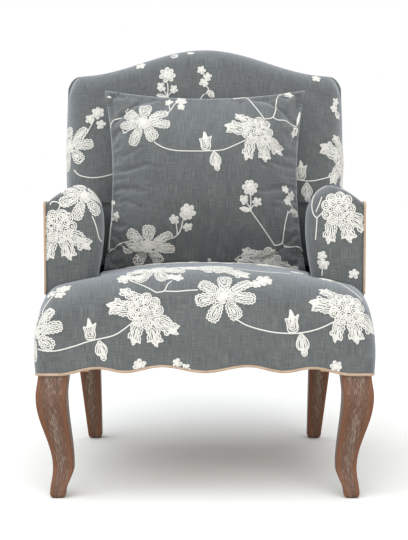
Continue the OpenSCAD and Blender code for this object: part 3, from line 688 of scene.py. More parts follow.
@dataclass(frozen=True)
class ChainStitchCotton:
    """Soft-twist embroidery cotton worked in chain stitch.

    The eye sees an off-white cord of small links, with painted shade at its sides and at the ends of
    its links. The links are drawn coarser than real stitches, so that they show.
    """

    light: str = "CECCC7"
    # painted shade: colour of the cord's sides and link ends, where shade falls between cords and links
    shade: str = "8B8883"
    link_mm: float = 3.6
    girth_mm: float = 4.1
    fibre_mm: tuple[float, float] = (1 / 0.9, 1 / 0.35)
    roughness: float = 0.8
    sheen: float = 0.2
    tones: tuple[float, float] = (0.6, 2.3)
    fibre_relief: float = 0.5
    # how strongly the painted shade darkens the cord from its crown towards its sides
    painted_side_shade: float = 2.0
    relief_shows: float = 0.5
    relief_mm: float = 0.4

    def material(self) -> bpy.types.Material:
        """Build the node material, which reads places round and along the cord."""
        s = Shader(bpy.data.materials.new("chain_stitch_cotton"))
        flat = s.add("UVMap", uv_map="flat")
        around, along = (s.add("SeparateXYZ", {0: flat}, out=axis) for axis in (0, 1))
        # painted shade: the link wave is bump relief and also darkens the colour at the ends of each link
        link = s.add("Math", {0: s.wave(along, self.link_mm), 1: 0.5, 2: 0.5}, operation="MULTIPLY_ADD")
        fibre = s.noise(flat, self.fibre_mm, {"Detail": 3.0})
        relief = s.add("Math", {0: fibre, 1: self.fibre_relief, 2: link}, operation="MULTIPLY_ADD")
        # painted shade: the colour darkens from the cord's crown towards its sides, where it meets the
        # cloth and the next cord
        crown = s.wave(around, 2 * self.girth_mm)
        light = s.add("Math", {0: crown, 1: self.painted_side_shade, 2: relief}, operation="MULTIPLY_ADD")
        colour = s.toned(light, *self.tones, self.shade, self.light)
        values = {"Roughness": self.roughness, "Sheen Weight": self.sheen}
        return s.cover(colour, relief, self.relief_shows, self.relief_mm, values)


@dataclass(frozen=True)
class CottonPiping:
    """Piping of cotton cut on the bias over a cord.

    The eye sees a matte cream welt with a faint slanting weave.
    """

    light: str = "B09985"
    shade: str = "977E69"
    yarn_mm: float = 0.9
    cloud_mm: tuple[float, float] = (1 / 0.16, 1 / 0.06)
    roughness: float = 0.85
    sheen: float = 0.15
    tones: tuple[float, float] = (0.25, 0.7)
    weave_share: float = 0.18
    relief_shows: float = 0.3
    relief_mm: float = 0.3

    def material(self) -> bpy.types.Material:
        """Build the node material, which reads places round and along the cord."""
        s = Shader(bpy.data.materials.new("cotton_piping"))
        flat = s.add("UVMap", uv_map="flat")
        bias = s.add("Mapping", {"Vector": flat, "Rotation": (0, 0, math.radians(45))})
        cloud = s.noise(flat, self.cloud_mm, {"Detail": 3.0})
        weave = s.weave(bias, self.yarn_mm)
        cloth = s.add("Math", {0: weave, 1: self.weave_share, 2: cloud}, operation="MULTIPLY_ADD")
        colour = s.toned(cloth, *self.tones, self.shade, self.light)
        values = {"Roughness": self.roughness, "Sheen Weight": self.sheen}
        return s.cover(colour, cloth, self.relief_shows, self.relief_mm, values)


@dataclass(frozen=True)
class WashedOak:
    """Oak that was stained brown, washed with grey lime and rubbed back.

    The eye sees brown flats with dark grain and short pale streaks, and warmer wood where edges were
    rubbed.
    """

    stain: str = "5A361E"
    dark: str = "382316"
    worn: str = "683A1A"
    lime: str = "8E8174"
    heart: str = "3E2A20"
    grain_mm: tuple[float, float] = (3.0, 75.0)
    streak_mm: tuple[float, float] = (1.0, 13.0)
    patch_mm: tuple[float, float] = (26.0, 90.0)
    knot_ring_mm: float = 3.307
    knot_edge_mm: tuple[float, float] = (3.0, 8.0)
    knot_gap: float = 0.35
    tones: tuple[float, float] = (0.35, 0.65)
    worn_share: float = 0.7
    patch_share: float = 0.65
    rubbed_off: float = 0.22
    lime_range: tuple[float, float] = (0.78, 0.97)
    lime_share: float = 0.7
    streak_depth: float = 0.7
    relief_shows: float = 0.3
    relief_mm: float = 0.5
    roughness: float = 0.55

    def material(self, knot: tuple[float, float] | None = None) -> bpy.types.Material:
        """Build the node material.

        Args:
            knot: Place of a knot on the flat wood, in millimetres, or None.

        Returns:
            The material, which reads the flat places and the share of rubbed edge.
        """
        s = Shader(bpy.data.materials.new("washed_oak" + ("_knot" if knot else "")))
        flat = s.add("UVMap", uv_map="flat")
        grain = s.noise(flat, self.grain_mm, {"Detail": 4.0, "Distortion": 0.5})
        streak = s.noise(flat, self.streak_mm, {"Detail": 3.0, "Distortion": 0.3})
        patch = s.noise(flat, self.patch_mm, {"Detail": 3.0})
        wood = s.toned(grain, *self.tones, self.dark, self.stain)
        rubbed = s.add("Attribute", out="Fac", attribute_name="rubbed")
        bare_share = s.add("Math", {0: rubbed, 1: self.worn_share}, operation="MULTIPLY")
        bare = s.add("Mix", {0: bare_share, 6: wood, 7: srgb(self.worn)}, out=2, data_type="RGBA")
        cover = s.add("Math", {0: patch, 1: self.patch_share, 2: streak}, operation="MULTIPLY_ADD")
        kept = s.add("Math", {0: rubbed, 1: -self.rubbed_off, 2: cover}, operation="MULTIPLY_ADD")
        low, high = self.lime_range
        limits = {"From Min": low, "From Max": high, "To Max": self.lime_share}
        lime = s.add("MapRange", {"Value": kept, **limits})
        colour = s.add("Mix", {0: lime, 6: bare, 7: srgb(self.lime)}, out=2, data_type="RGBA")
        if knot:
            share = self._knot(s, flat, knot)
            colour = s.add("Mix", {0: share, 6: colour, 7: srgb(self.heart)}, out=2, data_type="RGBA")
        relief = s.add("Math", {0: streak, 1: -self.streak_depth, 2: grain}, operation="MULTIPLY_ADD")
        values = {"Roughness": self.roughness}
        return s.cover(colour, relief, self.relief_shows, self.relief_mm, values)

    def _knot(
        self, s: Shader, flat: bpy.types.NodeSocket, knot: tuple[float, float]
    ) -> bpy.types.NodeSocket:
        """Share of dark heart wood in rings round a knot."""
        away = s.add("VectorMath", {0: flat, 1: (knot[0] * MM, knot[1] * MM, 0)}, operation="SUBTRACT")
        oval = s.add("VectorMath", {0: away, 1: (1, 0.8, 0)}, operation="MULTIPLY")
        radius = s.add("VectorMath", {0: oval}, out=1, operation="LENGTH")
        inner, outer = (edge * MM for edge in self.knot_edge_mm)
        edge = {"From Min": inner, "From Max": outer, "To Min": 1.0, "To Max": 0.0}
        near = s.add("MapRange", {"Value": radius, **edge})
        band = s.wave(radius, self.knot_ring_mm)
        dark = s.add("MapRange", {"Value": band, "From Min": -1.0, "To Min": self.knot_gap})
        return s.add("Math", {0: near, 1: dark}, operation="MULTIPLY")


@dataclass(frozen=True)
class GrainedSolid:
    """A plain inner material whose tone runs in patches of a given size.

    The eye sees one colour that varies a little, with a fine relief.
    """

    name: str
    light: str
    dark: str
    patch_mm: tuple[float, float, float]
    roughness: float = 0.8
    metallic: float = 0.0
    relief_shows: float = 0.2
    relief_mm: float = 0.5
    tones: tuple[float, float] = (0.3, 0.7)

    def material(self) -> bpy.types.Material:
        """Build the node material, which reads places in the chair itself."""
        s = Shader(bpy.data.materials.new(self.name))
        noise = s.noise(s.add("TexCoord", out="Object"), self.patch_mm, {"Detail": 4.0})
        colour = s.toned(noise, *self.tones, self.dark, self.light)
        values = {"Roughness": self.roughness, "Metallic": self.metallic}
        return s.cover(colour, noise, self.relief_shows, self.relief_mm, values)


class InnerFinish(Enum):
    """Finishes of what lies inside or under the upholstery."""

    PLANED_BEECH = GrainedSolid("planed_beech", "D3B689", "B28F60", (40, 40, 4), 0.65)
    UPHOLSTERY_FOAM = GrainedSolid("upholstery_foam", "EBDDA8", "DCCB90", (2, 2, 2), 0.95)
    NEEDLED_FELT = GrainedSolid("needled_felt", "9A978D", "75726A", (3, 3, 3), 0.95)
    JUTE_WEBBING = GrainedSolid("jute_webbing", "4A4843", "2E2D2A", (1.5, 1.5, 1.5), 0.9)
    BLACK_CAMBRIC = GrainedSolid("black_cambric", "29292C", "1B1B1D", (1, 1, 1), 0.9)
    COTTON_CASE = GrainedSolid("cotton_case", "EFEBE2", "DDD8CD", (4, 4, 4), 0.9)
    DRAWN_STEEL = GrainedSolid("drawn_steel", "A2A6A8", "7F8386", (2, 2, 20), 0.38, 1.0, 0.05)
    ZINC_PLATED_STEEL = GrainedSolid("zinc_plated_steel", "C0C3C4", "A4A8AA", (3, 3, 3), 0.32, 1.0, 0.05)
    MOULDED_NYLON = GrainedSolid("moulded_nylon", "4F3C31", "43342A", (3, 3, 3), 0.5)


@dataclass
class Finishes:
    """The materials of the visible pieces, each made once."""

    linen: bpy.types.Material = field(default_factory=lambda: SlubLinen().material())
    stitches: bpy.types.Material = field(default_factory=lambda: ChainStitchCotton().material())
    piping: bpy.types.Material = field(default_factory=lambda: CottonPiping().material())
    oak: bpy.types.Material = field(default_factory=lambda: WashedOak().material())
    knotty_oak: bpy.types.Material = field(default_factory=lambda: WashedOak().material((-12.0, 236.0)))


def dress(piece: bpy.types.Object, material: bpy.types.Material, body: str = CHAIR) -> None:
    """Give a finished piece its material and the body that it moves with."""
    piece.data.materials.clear()
    piece.data.materials.append(material)
    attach(piece, body)
    LOG.info("%s: %d faces", piece.name, len(piece.data.polygons))


# Embroidery


@dataclass
class Spot:
    """A place on a panel with the cloth's own right and up there."""

    at: Vector
    normal: Vector
    right: Vector
    up: Vector

    def flat(self, x: float, y: float) -> Vector:
        """Point x to the right and y up in the spot's own plane."""
        return self.at + self.right * x + self.up * y


class Surface:
    """A panel that can be walked on and seen, in millimetres."""

    STEP = 4.0
    BORDER = 0.7

    def __init__(self, cloth: Cloth, inside: Sequence[float]) -> None:
        """Prepare the panel's faces for looking up points.

        Args:
            cloth: The panel.
            inside: A point in the stuffing behind it.
        """
        self.tree = BVHTree.FromPolygons(cloth.points.reshape(-1, 3).tolist(), cloth.quads(inside).tolist())

    def nearest(self, at: Vector) -> tuple[Vector, Vector, bool]:
        """Nearest point of the panel.

        Args:
            at: Any point.

        Returns:
            The point on the panel, its outward normal, and whether at lies beside the panel.
        """
        found, normal, _, _ = self.tree.find_nearest(at)
        off = at - found
        off -= normal * off.dot(normal)
        return found, normal, off.length > self.BORDER

    def spot(self, at: Vector, normal: Vector, turn: float = 0.0) -> Spot:
        """Spot at a point, whose up follows the cloth's warp, turned by an angle in degrees."""
        hint = Vector((0, 0.5, 0.87))
        up = (hint - normal * hint.dot(normal)).normalized()
        right = up.cross(normal).normalized()
        if turn:
            spin = Matrix.Rotation(math.radians(turn), 3, normal)
            up, right = spin @ up, spin @ right
        return Spot(at.copy(), normal.copy(), right, up)

    def walk(self, spot: Spot, x: float, y: float) -> Spot:
        """Walk over the panel from a spot.

        Args:
            spot: The start.
            x: Way to the right, in millimetres of cloth.
            y: Way up, in millimetres of cloth.

        Returns:
            The spot reached; beyond the panel's edge it goes straight on.
        """
        steps = max(1, math.ceil(math.hypot(x, y) / self.STEP))
        here = Spot(spot.at.copy(), spot.normal.copy(), spot.right.copy(), spot.up.copy())
        for _ in range(steps):
            ahead = here.flat(x / steps, y / steps)
            found, normal, beside = self.nearest(ahead)
            if beside:
                here.at = ahead
                continue
            turn = here.normal.rotation_difference(normal)
            here = Spot(found, normal, turn @ here.right, turn @ here.up)
        return here


@dataclass(frozen=True)
class PhotoView:
    """Where the photograph was taken from, for placing pieces as they are seen in it.

    Places are in its own frame of 408 by 540, x to the right and y down.
    """

    distance: float = 2825.0
    eye_x: float = -1.6
    eye_z: float = 722.6
    pitch: float = math.radians(4.972)
    focal_px: float = 1406.8
    frame_px: tuple[int, int] = (408, 540)

    def ray(self, x: float, y: float) -> tuple[Vector, Vector]:
        """Start and direction of the line of sight through a place of the frame."""
        eye = Vector((self.eye_x, -self.distance, self.eye_z))
        across = (x - self.frame_px[0] / 2) / self.focal_px
        down = (y - self.frame_px[1] / 2) / self.focal_px
        c, s = math.cos(self.pitch), math.sin(self.pitch)
        return eye, Vector((across, c - down * s, -s - down * c)).normalized()


@dataclass(frozen=True)
class LevelView:
    """A level view from one side, for panels that the photograph doesn't show.

    Places are in millimetres, x to the viewer's right and y down, from a point of the chair.
    """

    origin: tuple[float, float, float]
    right: tuple[float, float, float]
    aim: tuple[float, float, float]
    down: tuple[float, float, float] = (0.0, 0.0, -1.0)
    scale: float = 2.3

    AWAY = 1000.0

    def ray(self, x: float, y: float) -> tuple[Vector, Vector]:
        """Start and direction of the line of sight through a place of the view."""
        aim = Vector(self.aim)
        aside = Vector(self.right) * x + Vector(self.down) * y
        return Vector(self.origin) + aside * self.scale - aim * self.AWAY, aim


class Outline(Enum):
    """Outlines of petals and leaves, from the base at 0 to the tip at 1, with a width of one."""

    PETAL = (
        (0.0, 0.0), (0.24, 0.04), (0.38, 0.2), (0.42, 0.36), (0.5, 0.56), (0.48, 0.76), (0.4, 0.93),
        (0.14, 1.0), (-0.14, 0.98), (-0.38, 0.94), (-0.5, 0.74), (-0.48, 0.54), (-0.42, 0.36),
        (-0.38, 0.18), (-0.24, 0.04),
    )
    TULIP = (
        (0.0, 0.0), (0.3, 0.02), (0.44, 0.22), (0.42, 0.48), (0.54, 0.78), (0.28, 0.66), (0.16, 0.74),
        (0.06, 0.9), (-0.1, 1.02), (-0.16, 0.8), (-0.28, 0.62), (-0.54, 0.62), (-0.42, 0.4),
        (-0.42, 0.18), (-0.28, 0.02),
    )
    MAPLE = (
        (0.0, 0.0), (0.3, 0.0), (0.46, 0.2), (0.4, 0.4), (0.56, 0.68), (0.3, 0.72), (0.2, 0.86),
        (0.02, 1.0), (-0.12, 0.84), (-0.28, 0.84), (-0.5, 0.84), (-0.42, 0.56), (-0.52, 0.34),
        (-0.42, 0.14), (-0.28, 0.0),
    )
    PAISLEY = (
        (0.0, 0.0), (0.22, 0.12), (0.42, 0.3), (0.5, 0.52), (0.34, 0.7), (0.14, 0.72), (0.2, 0.86),
        (0.02, 1.0), (-0.2, 0.92), (-0.24, 0.76), (-0.42, 0.58), (-0.42, 0.36), (-0.2, 0.14),
    )
    BLADE = (
        (0.0, 0.0), (0.26, 0.18), (0.46, 0.42), (0.5, 0.7), (0.3, 0.88), (0.06, 1.0), (-0.06, 0.86),
        (-0.3, 0.74), (-0.42, 0.5), (-0.36, 0.26), (-0.16, 0.08),
    )
    LOBE = (
        (0.0, 0.0), (0.3, 0.07), (0.48, 0.32), (0.48, 0.66), (0.3, 0.92), (0.0, 1.0), (-0.3, 0.92),
        (-0.48, 0.66), (-0.48, 0.32), (-0.3, 0.07),
    )

    def shape(self) -> np.ndarray:
        """The outline's points, one row each."""
        return np.array(self.value, float)


@dataclass(frozen=True)
class Flower:
    """Seven petals of nested loops round a rosette, about 120 mm across."""

    at: Place
    turn: float = 0.0
    size: float = 1.0
    shift: Place = (0.0, 0.0)

    PETALS = (
        (143, 57, 27),
        (84, 49, 30),
        (28, 65, 22),
        (-9, 64, 25),
        (-60, 55, 28),
        (-121, 60, 27),
        (186, 60, 27),
    )
    START = 15
    ROSETTE = (18, 7)


@dataclass(frozen=True)
class Bloom:
    """A full bloom: rings of petals round a middle, with lobed leaves under them."""

    at: Place
    turn: float = 0.0
    size: float = 1.0
    shift: Place = (0.0, 0.0)
    leaves: tuple[int, ...] = (0, 1, 2, 3, 4)

    LEAVES = (
        ((-18, 26), (-53, 46), 22),
        ((-24, 3), (-78, 11), 35),
        ((-15, -24), (-24, -72), 27),
        ((11, -26), (24, -73), 30),
        ((23, -15), (67, -49), 31),
    )
    RINGS = ((9, 38.0, 22.5, 0), (7, 25.5, 18.0, 25))
    HEART = (10.5, 6)


@dataclass(frozen=True)
class Blossom:
    """A small blossom of round petals."""

    at: Place
    radius: float = 12.0
    petals: int = 5


@dataclass(frozen=True)
class Leaf:
    """A leaf, given by its base and its tip."""

    base: Place
    tip: Place
    width: float = 0.6
    outline: Outline = Outline.TULIP


@dataclass(frozen=True)
class Stem:
    """A thin stem through several places."""

    places: tuple[Place, ...]


Motif = Flower | Bloom | Blossom | Leaf | Stem


class Embroidery:
    """Chain-stitch motifs on one panel, drawn as raised cords of thread.

    The cords are 3 mm wide, coarser than real chain stitch, so that they show.
    """

    CORD_W = 1.5
    CORD_H = 1.1
    SINK = 0.12
    SAMPLE = 2.1
    SPACING = 3.7
    CLOSE = 2.5
    WAVE_MM = 6.6
    WAVE_HIGH = 3.4
    WAVE_MEAN = 0.55
    LOBES_CLOSE = 2.16
    LOOK_BESIDE = (0.0, 1.5, 3.0, 5.0, 8.0)
    LAYER = 0.6
    SMALL = 14.0
    MIDDLE = 0.52
    MIDDLE_STEP = 1.9
    MIDDLE_END = 0.6
    CORD_UNDER = 0.3
    UNEVEN_TIP = 0.9
    UNEVEN_EDGE = 0.2
    UNEVEN_ROUND = 0.55

    def __init__(self, surface: Surface, seed: int) -> None:
        """Start an empty pattern.

        Args:
            surface: The panel.
            seed: Start of the small irregularities of hand work.
        """
        self.surface = surface
        self.view: PhotoView | LevelView = PhotoView()
        self.random = np.random.default_rng(seed)
        self.layer = 0
        self.paths: list[np.ndarray] = []
        self.normals: list[np.ndarray] = []

    def seen(self, place: Place, turn: float = 0.0) -> Spot | None:
        """Spot of the panel that lies at a place of the view, or None beside the panel."""
        start, aim = self.view.ray(*place)
        at, normal, _, _ = self.surface.tree.ray_cast(start, aim)
        if at is None or normal.dot(aim) > 0:
            return None
        return self.surface.spot(at, normal, turn)

    def near(self, place: Place, turn: float = 0.0) -> Spot | None:
        """Spot at a place of the view, or the panel's nearest spot a little beside it."""
        for reach in self.LOOK_BESIDE:
            for k in range(12 if reach else 1):
                a = math.pi * k / 6
                spot = self.seen((place[0] + reach * math.cos(a), place[1] + reach * math.sin(a)), turn)
                if spot:
                    return spot
        return None

    def cord(self, points: Sequence[Vector]) -> None:
        """Lay a cord over points near the panel, cut where they lie beside it."""
        path: list[Vector] = []
        normal: list[Vector] = []
        for p in [*points, None]:
            found = self.surface.nearest(p) if p is not None else None
            if found is not None and not found[2]:
                path.append(found[0] + found[1] * (self.SINK + self.layer * self.LAYER))
                normal.append(found[1])
                continue
            if len(path) > 2:
                self.paths.append(np.array([tuple(v) for v in path]))
                self.normals.append(np.array([tuple(v) for v in normal]))
            path, normal = [], []

    def loop(self, spot: Spot, outline: np.ndarray, wavy: bool = False) -> None:
        """Lay a closed cord.

        Args:
            spot: Middle of the loop.
            outline: Its points in the spot's own plane, in millimetres.
            wavy: Whether its edge is worked in small scallops.
        """
        around = np.concatenate([outline, outline[:1]])
        length = float(np.sum(np.linalg.norm(np.diff(around, axis=0), axis=1)))
        count = max(9, int(length / self.SAMPLE * (2 if wavy else 1)))
        closed = np.concatenate([outline[-1:], outline, outline[:2]])
        line = rounded_curve(closed, 1 + len(outline) * np.arange(count + 1) / count)
        if wavy:
            turns = max(3, round(length / self.WAVE_MM))
            wave = np.abs(np.sin(math.pi * turns * np.arange(count + 1) / count))
            away = np.maximum(6, np.linalg.norm(line, axis=1))
            line = line * (1 + (self.WAVE_HIGH * (wave - self.WAVE_MEAN) / away)[:, None])
        self.cord([spot.flat(x, y) for x, y in line])

    def nested(self, spot: Spot, outline: Outline, base: Place, tip: Place, width: float) -> None:
        """Fill a petal or leaf with nested loops.

        Args:
            spot: Middle of the motif that it belongs to.
            outline: Its outline.
            base: Place of its base from that middle, in millimetres.
            tip: Place of its tip.
            width: Its width in millimetres.
        """
        start, way = np.array(base, float), np.subtract(tip, base).astype(float)
        way = way + self.random.normal(0, self.UNEVEN_TIP, 2)
        length = float(np.hypot(*way))
        along = way / length
        aside = np.array([along[1], -along[0]])
        shape = outline.shape() - [0, self.MIDDLE]
        core = self.surface.walk(spot, *(start + way * self.MIDDLE))
        spacing = self.CLOSE if width < self.SMALL else self.SPACING
        count = max(1, int(width / 2 / spacing + 0.45))
        for k in range(count):
            inset = 2 * (self.CORD_W + k * spacing)
            wide, long = width - inset, length - inset
            if k and wide < -1.5:
                break
            ring = shape * [max(wide, 1.0), max(long, 1.5)]
            ring = ring + self.random.normal(0, self.UNEVEN_ROUND if k else self.UNEVEN_EDGE, ring.shape)
            wavy = k == 0 and outline in (Outline.PETAL, Outline.MAPLE)
            self.loop(core, ring[:, :1] * aside + ring[:, 1:] * along, wavy)
        rest = length - 2 * (self.CORD_W + count * spacing)
        if rest > 3:
            run = np.linspace(-rest / 2, rest / 2, int(rest / self.SAMPLE) + 2)
            self.cord([core.flat(*(along * t)) for t in run])

    def draw(self, motifs: Iterable[Motif]) -> None:
        """Draw motifs in order."""
        for motif in motifs:
            if isinstance(motif, Stem):
                self._stem(motif)
            elif isinstance(motif, Leaf):
                self._leaf(motif)
            else:
                spot = self.near(motif.at, getattr(motif, "turn", 0.0))
                if spot is None:
                    LOG.warning("%s lies beside its panel", motif)
                elif isinstance(motif, Blossom):
                    self._blossom(spot, motif.radius, motif.petals)
                elif isinstance(motif, Flower):
                    self._flower(self.surface.walk(spot, *motif.shift), motif)
                else:
                    self._bloom(self.surface.walk(spot, *motif.shift), motif)

    def _blossom(self, spot: Spot, radius: float, petals: int) -> None:
        """Round petals close together, with a filled middle."""
        lobe = self.LOBES_CLOSE * radius / (1 + 1 / math.sin(math.pi / petals))
        self._ring(spot, petals, radius, lobe, self.random.uniform(0, 360))
        self._middle(spot, radius - lobe + 1)

    def _ring(self, spot: Spot, count: int, radius: float, lobe: float, start: float) -> None:
        """Round lobes in a ring, as wide as they are long."""
        for k in range(count):
            a = math.radians(start + 360 * k / count + self.random.normal(0, 3))
            way = np.array([math.cos(a), math.sin(a)])
            self.nested(spot, Outline.LOBE, tuple(way * (radius - lobe)), tuple(way * radius), lobe)

    def _middle(self, spot: Spot, radius: float) -> None:
        """Rounds of stitches that fill a middle."""
        self.layer += 1
        for r in np.arange(radius, self.MIDDLE_END, -self.MIDDLE_STEP):
            self.loop(spot, Outline.LOBE.shape() * 2 * r - [0, r])
        self.layer -= 1

    def _flower(self, spot: Spot, motif: Flower) -> None:
        """Seven petals and a rosette."""
        for angle, reach, width in motif.PETALS:
            a = math.radians(angle)
            way = np.array([math.cos(a), math.sin(a)]) * motif.size
            base, tip = tuple(way * motif.START), tuple(way * reach)
            self.nested(spot, Outline.PETAL, base, tip, width * motif.size)
        self.layer = 1
        radius, petals = motif.ROSETTE
        self._blossom(spot, radius * motif.size, petals)
        self.layer = 0

    def _bloom(self, spot: Spot, motif: Bloom) -> None:
        """Lobed leaves, then rings of petals one on top of the other, and the middle."""
        for k in motif.leaves:
            base, tip = (tuple(np.multiply(place, motif.size)) for place in motif.LEAVES[k][:2])
            self.nested(spot, Outline.MAPLE, base, tip, motif.LEAVES[k][2] * motif.size)
        for count, radius, lobe, start in motif.RINGS:
            self.layer += 1
            self._ring(spot, count, radius * motif.size, lobe * motif.size, start)
        self.layer += 1
        radius, petals = motif.HEART
        self._blossom(spot, radius * motif.size, petals)
        self.layer = 0

    def _leaf(self, motif: Leaf) -> None:
        """A leaf between two places."""
        base, tip = self.near(motif.base), self.near(motif.tip)
        if base is None or tip is None:
            LOG.warning("%s lies beside its panel", motif)
            return
        way = tip.at - base.at
        x, y = way.dot(base.right), way.dot(base.up)
        share = way.length / max(1e-6, math.hypot(x, y))
        self.nested(base, motif.outline, (0.0, 0.0), (x * share, y * share), way.length * motif.width)

    def _stem(self, motif: Stem) -> None:
        """A stem through its places, over the panel."""
        spots = [s for s in (self.near(p) for p in motif.places) if s]
        if len(spots) < 2:
            return
        ends = np.array([tuple(s.at) for s in spots])
        length = float(np.sum(np.linalg.norm(np.diff(ends, axis=0), axis=1)))
        s = np.linspace(0, len(ends) - 1, max(4, int(length / self.SAMPLE)))
        self.cord([Vector(p) for p in rounded_curve(ends, s)])

    def piece(self, name: str) -> bpy.types.Object:
        """Make the mesh of all cords."""
        a = math.pi * np.array([0.0, 0.28, 0.5, 0.72, 1.0])
        top = np.stack([self.CORD_W * np.cos(a), self.CORD_H * np.sin(a)], -1)
        section = np.concatenate([top, [[0.0, -self.CORD_UNDER]]])
        return build_mesh(name, *sweep(self.paths, self.normals, section))


def embroider(
    name: str,
    surface: Surface,
    seed: int,
    drawings: Iterable[tuple[PhotoView | LevelView, Iterable[Motif]]],
    finishes: Finishes,
    body: str = CHAIR,
) -> None:
    """Make the embroidery of one panel.

    Args:
        name: Name of the piece.
        surface: The panel.
        seed: Start of the small irregularities of hand work.
        drawings: Motifs in order, each group with the view in which its places are given.
        finishes: The chair's materials.
        body: The body that it moves with.
    """
    pattern = Embroidery(surface, seed)
    for view, motifs in drawings:
        pattern.view = view
        pattern.draw(motifs)
    dress(pattern.piece(name), finishes.stitches, body)


# Layout of the embroidery


def beside(at: Place) -> Callable[[float, float], Place]:
    """Give a function for places by their way to the right and down from one place."""
    return lambda right, down: (at[0] + right, at[1] + down)


def sprig(at: Place) -> tuple[Motif, ...]:
    """The tall sprig of one full and two small blossoms with a leaf, by the place of its full blossom."""
    p = beside(at)
    return (
        Stem((p(0, 8), p(0.5, 15), p(0, 20), p(1, 24))),
        Stem((p(-5, 14), p(-2, 18), p(0, 22))),
        Stem((p(5, 17), p(2, 19), p(0, 23))),
        Blossom(at, 19, 7),
        Blossom(p(-6.5, 12)),
        Blossom(p(6.5, 14.5), 11),
        Leaf(p(0.5, 23), p(-11, 21), 0.5, Outline.BLADE),
    )


def spray(at: Place) -> tuple[Motif, ...]:
    """The spray of three small blossoms over a leaf, by the place of its top blossom."""
    p = beside(at)
    return (
        Stem((p(0, 0), p(5, 8), p(4, 14), p(7, 19), p(4, 24))),
        Blossom(at, 11),
        Blossom(p(6, 6.5), 11),
        Blossom(p(2.5, 12)),
        Leaf(p(5.5, 20), p(14, 26), 0.7, Outline.BLADE),
    )


def cluster(at: Place) -> tuple[Motif, ...]:
    """The cluster of one full and two small blossoms, by the place of its full blossom."""
    p = beside(at)
    return (
        Stem((p(-4, 8), p(-6, 16), p(-9, 22), p(-15, 26.5))),
        Stem((p(-5, 14), p(-7, 19), p(-10, 22))),
        Stem((p(-11, 11), p(-10, 17), p(-10, 22))),
        Blossom(at, 20, 7),
        Blossom(p(-13, 7)),
        Blossom(p(0.5, 15)),
    )


def repeat_unit(x: float, y: float) -> tuple[Motif, ...]:
    """One repeat of the cloth's pattern with its seven-petal flower at a place.

    Args:
        x: Place of the flower to the right, in the view's own measure.
        y: Place of the flower downward.

    Returns:
        The motifs of the repeat.
    """
    p = beside((x, y))
    return (
        Flower(p(0, 0)),
        *cluster(p(39, -34)),
        Stem((p(12, 21), p(22, 27), p(35, 30), p(60, 30), p(80, 27), p(96, 17))),
        Leaf(p(61, 30), p(60, 11), 0.6),
        Leaf(p(72, 30), p(75, 50), 0.62, Outline.PAISLEY),
        Bloom(p(112, 12)),
        Stem((p(120, -3), p(127, -5), p(133, -15), p(135, -30), p(137, -42))),
        Stem((p(120, -2), p(108, -20), p(97, -40))),
        *sprig(p(96, -64)),
        *spray(p(132, -62)),
        Stem((p(127, -5), p(140, -1), p(154, 2))),
        Stem((p(-20, -2), p(-32, 1), p(-40, 10))),
    )


ARM_TOP_PATTERN: tuple[Motif, ...] = (
    Flower((4, 6)),
    *cluster((43, -28)),
    Stem(((16, 27), (26, 33), (39, 36), (64, 36), (88, 33))),
    Leaf((65, 36), (64, 17), 0.6),
    Leaf((76, 36), (79, 56), 0.62, Outline.PAISLEY),
)
SEAT_TOP_PATTERN: tuple[Motif, ...] = (
    Flower((-52, -12)),
    *cluster((-13, -46)),
    Stem(((-40, 9), (-30, 15), (-17, 18), (8, 18), (28, 15), (44, 5))),
    Leaf((9, 18), (8, -1), 0.6),
    Leaf((20, 18), (23, 38), 0.62, Outline.PAISLEY),
    Bloom((60, 0)),
)
PILLOW_PATTERN: tuple[Motif, ...] = (
    Flower((143.5, 122.5)),
    Stem(((166, 115), (171, 110), (175, 104), (180, 103))),
    Stem(((170, 110), (169, 105))),
    Blossom((181, 102), 15),
    Blossom((169, 103), 11),
    Blossom((181, 107), 11),
    Stem(((122, 118), (113, 121), (106, 128))),
    Stem(((154, 142), (162, 147), (172, 150), (184, 151), (206, 151), (222, 150), (233, 146), (246, 140))),
    Leaf((206, 150.5), (205, 132), 0.6),
    Leaf((214, 151), (217, 171), 0.62, Outline.PAISLEY),
    Bloom((257.4, 131.5)),
    Stem(((265, 120), (256, 108), (247, 98.5), (243, 98), (233, 99))),
    Stem(((265, 119), (273, 117), (276, 107), (278, 97), (282, 95))),
    Leaf((283, 95), (295, 94.5), 0.5),
    Stem(((273, 117.5), (278, 120), (286, 121), (297, 127))),
    Leaf((300, 112), (296, 126), 0.25, Outline.BLADE),
    Leaf((296, 128), (294, 140), 0.6),
    Flower((147.7, 246.3)),
    *cluster((187, 212.3)),
    Stem(((131, 241), (120, 244), (109, 252))),
    Bloom((266.7, 260)),
    Stem(((275, 246), (267, 234), (258, 221), (250, 210))),
    Stem(((275, 245.5), (282, 243), (284, 232), (285.5, 222), (288, 211))),
    *sprig((250.4, 187.5)),
    *spray((285, 189.5)),
    Stem(((282, 243), (287, 247), (298, 247), (305, 249.5))),
    Leaf((212, 268), (211.5, 259), 0.9),
    Blossom((113, 203), 8),
    Blossom((115.5, 217), 13),
    Stem(((112.5, 206), (112, 216), (111, 226), (110, 238), (109, 250))),
    Leaf((102, 97), (112, 98), 0.5, Outline.BLADE),
)

